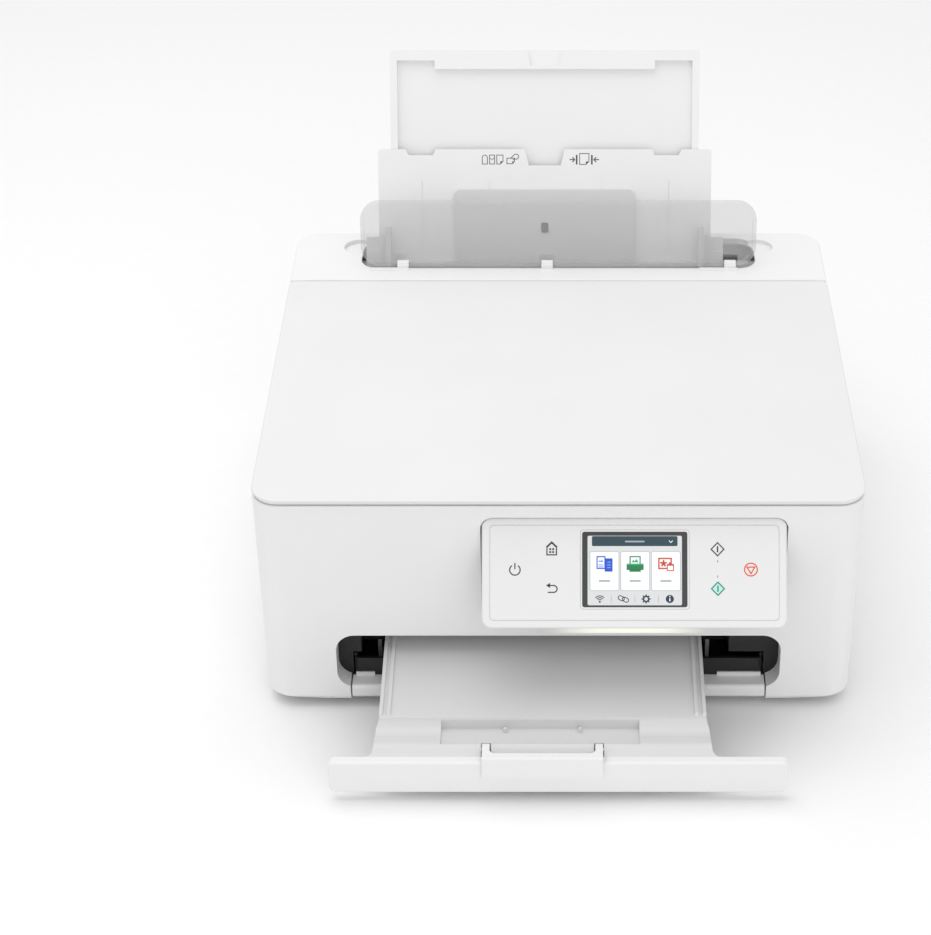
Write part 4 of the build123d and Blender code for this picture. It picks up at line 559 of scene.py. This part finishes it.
on_screen("scan_picture_sheet", block(-3.2, 1.6, 3.6, 8.8, 0.2), "green", 1)
on_screen("scan_picture_face", block(-2.5, 1.6, 2.9, 8.1), "white", 2)
on_screen("scan_picture_hills", [[(x * 1.1 - 2.0, y * 1.1 + 5.0) for x, y in hills]], "leaf", 3)
on_screen("scan_picture_body", block(-5.0, 0.3, 5.4, 4.2, 0.4) + block(-3.3, -0.8, 3.7, 0.6, 0.3), "green", 3)
on_screen("scan_picture_edge", block(-5.0, 3.3, 5.4, 4.2, 0.4), "leaf", 4)
on_screen("print_picture_frame", block(14.3, 0.8, 22.7, 7.8, 0.2), "red", 1)
on_screen("print_picture_face", block(15.2, 1.7, 21.8, 6.9), "white", 2)
petals = [s for turn in range(5) for s in ribbon([(17.6, 4.3), (17.6 + 2.1 * cos(radians(72 * turn + 18)),
                                                             4.3 + 2.1 * sin(radians(72 * turn + 18)))], 1.1)]
on_screen("print_picture_flower", petals, "red", 3)
camera_picture = block(19.6, -0.4, 24.0, 4.0, 0.4) + block(20.8, 3.8, 22.6, 5.0, 0.3)
on_screen("print_picture_camera", camera_picture, "red", 4)
on_screen("print_picture_window", block(20.2, 0.2, 23.4, 2.9, 0.2), "white", 5)
ROW = -17.4
waves = [s for radius in (1.3, 2.4, 3.5) for s in ribbon(arc(-21.4, ROW - 1.6, radius, 40, 140, 10), 0.55)]
waves += disc(-21.4, ROW - 1.7, 0.62, 12)
links = []
for side_x, side_y in ((-8.3, 0.45), (-5.7, -0.45)):
    loop = arc(0.7, 0, 1.25, -90, 90, 10) + arc(-0.7, 0, 1.25, 90, 270, 10)
    lean = radians(-28)
    links += ribbon([(side_x + x * cos(lean) - y * sin(lean), ROW + side_y + x * sin(lean) + y * cos(lean))
                     for x, y in loop], 0.55, True)
gear = ribbon(arc(6.9, ROW, 1.6, 0, 360, 20)[:-1], 1.0, True)
for tooth in range(8):
    a = 2 * pi * tooth / 8
    gear += ribbon([(6.9 + 1.9 * cos(a), ROW + 1.9 * sin(a)), (6.9 + 2.8 * cos(a), ROW + 2.8 * sin(a))], 0.8)
on_screen("page_signs", waves + links + gear + disc(21.4, ROW, 2.5), "navy", 0)
info_mark = block(21.05, ROW - 1.4, 21.75, ROW + 0.4) + disc(21.4, ROW + 1.4, 0.42, 12)
on_screen("page_info_mark", info_mark, "white", 1)
separators = [s for x in (-14.4, 0.0, 14.4) for s in block(x - 0.15, ROW - 2.2, x + 0.15, ROW + 2.2)]
on_screen("page_separators", separators, "line", 0)
screen_pieces = [o.name for o in bpy.data.objects if o.name.startswith(("page", "copy", "scan_p", "print_p"))]
print("screen pieces", len(screen_pieces))

# %% [markdown]
# ## Signs on the paper support
# Two groups of small outlines near the top of the lower stage say which sheets go in, and that the
# guides are to be slid against them.

# %% Support signs
support = Plane((-9.7, 318.0, 162.0), 22.0)
SIGN_TOP = 66.0
SIGN_LINE = 0.5


def sheet_sign(x, y, width, height, fold):
    """A sheet's outline with its lower right corner folded over."""
    start, end = (x + width - fold, y), (x + width, y + fold)
    outline = [(x, y), start, end, (x + width, y + height), (x, y + height)]
    return ribbon(outline, SIGN_LINE, True) + [[start, end, (start[0], end[1])]]


tall_slip = arc(-42.6, SIGN_TOP + 0.9, 1.8, 0, 180, 8) + [(-44.4, SIGN_TOP - 3.6), (-40.8, SIGN_TOP - 3.6)]
left_signs = ribbon(tall_slip, SIGN_LINE, True)
left_signs += ribbon([(-39.2, SIGN_TOP - 3.6), (-35.7, SIGN_TOP - 3.6), (-35.7, SIGN_TOP + 2.7),
                      (-39.2, SIGN_TOP + 2.7)], SIGN_LINE, True)
envelope_fold = [(-39.2, SIGN_TOP + 0.9), (-37.4, SIGN_TOP - 0.6), (-35.7, SIGN_TOP + 0.9)]
left_signs += ribbon(envelope_fold, SIGN_LINE * 0.7)
left_signs += sheet_sign(-34.1, SIGN_TOP - 3.6, 4.4, 6.3, 1.9)
left_signs += sheet_sign(-26.9, SIGN_TOP - 3.4, 5.4, 3.9, 1.6)
curl = [(-24.2, SIGN_TOP + 0.5), (-21.9, SIGN_TOP + 2.7)]
curl += arc(-20.4, SIGN_TOP + 1.6, 1.8, 140, -120, 14) + [(-22.8, SIGN_TOP - 0.8)]
left_signs += ribbon(curl, SIGN_LINE)
right_signs = sheet_sign(24.8, SIGN_TOP - 3.9, 6.6, 7.7, 2.1)
for side_x, way in ((22.7, 1), (33.5, -1)):
    right_signs += ribbon([(side_x, SIGN_TOP - 3.9), (side_x, SIGN_TOP + 2.8)], 1.1)
    tip = side_x - way * 1.0
    right_signs += ribbon([(tip - way * 4.0, SIGN_TOP - 0.5), (tip - way * 1.2, SIGN_TOP - 0.5)], 0.7)
    right_signs += ribbon([(tip - way * 2.0, SIGN_TOP + 1.2), (tip - way * 0.4, SIGN_TOP - 0.5),
                           (tip - way * 2.0, SIGN_TOP - 2.2)], 0.7)
for name, shapes in (("sheet_signs", left_signs), ("guide_signs", right_signs)):
    sign(name, shapes, support, 0.0, "grey", "lower_support")
print("support signs at", SIGN_TOP)
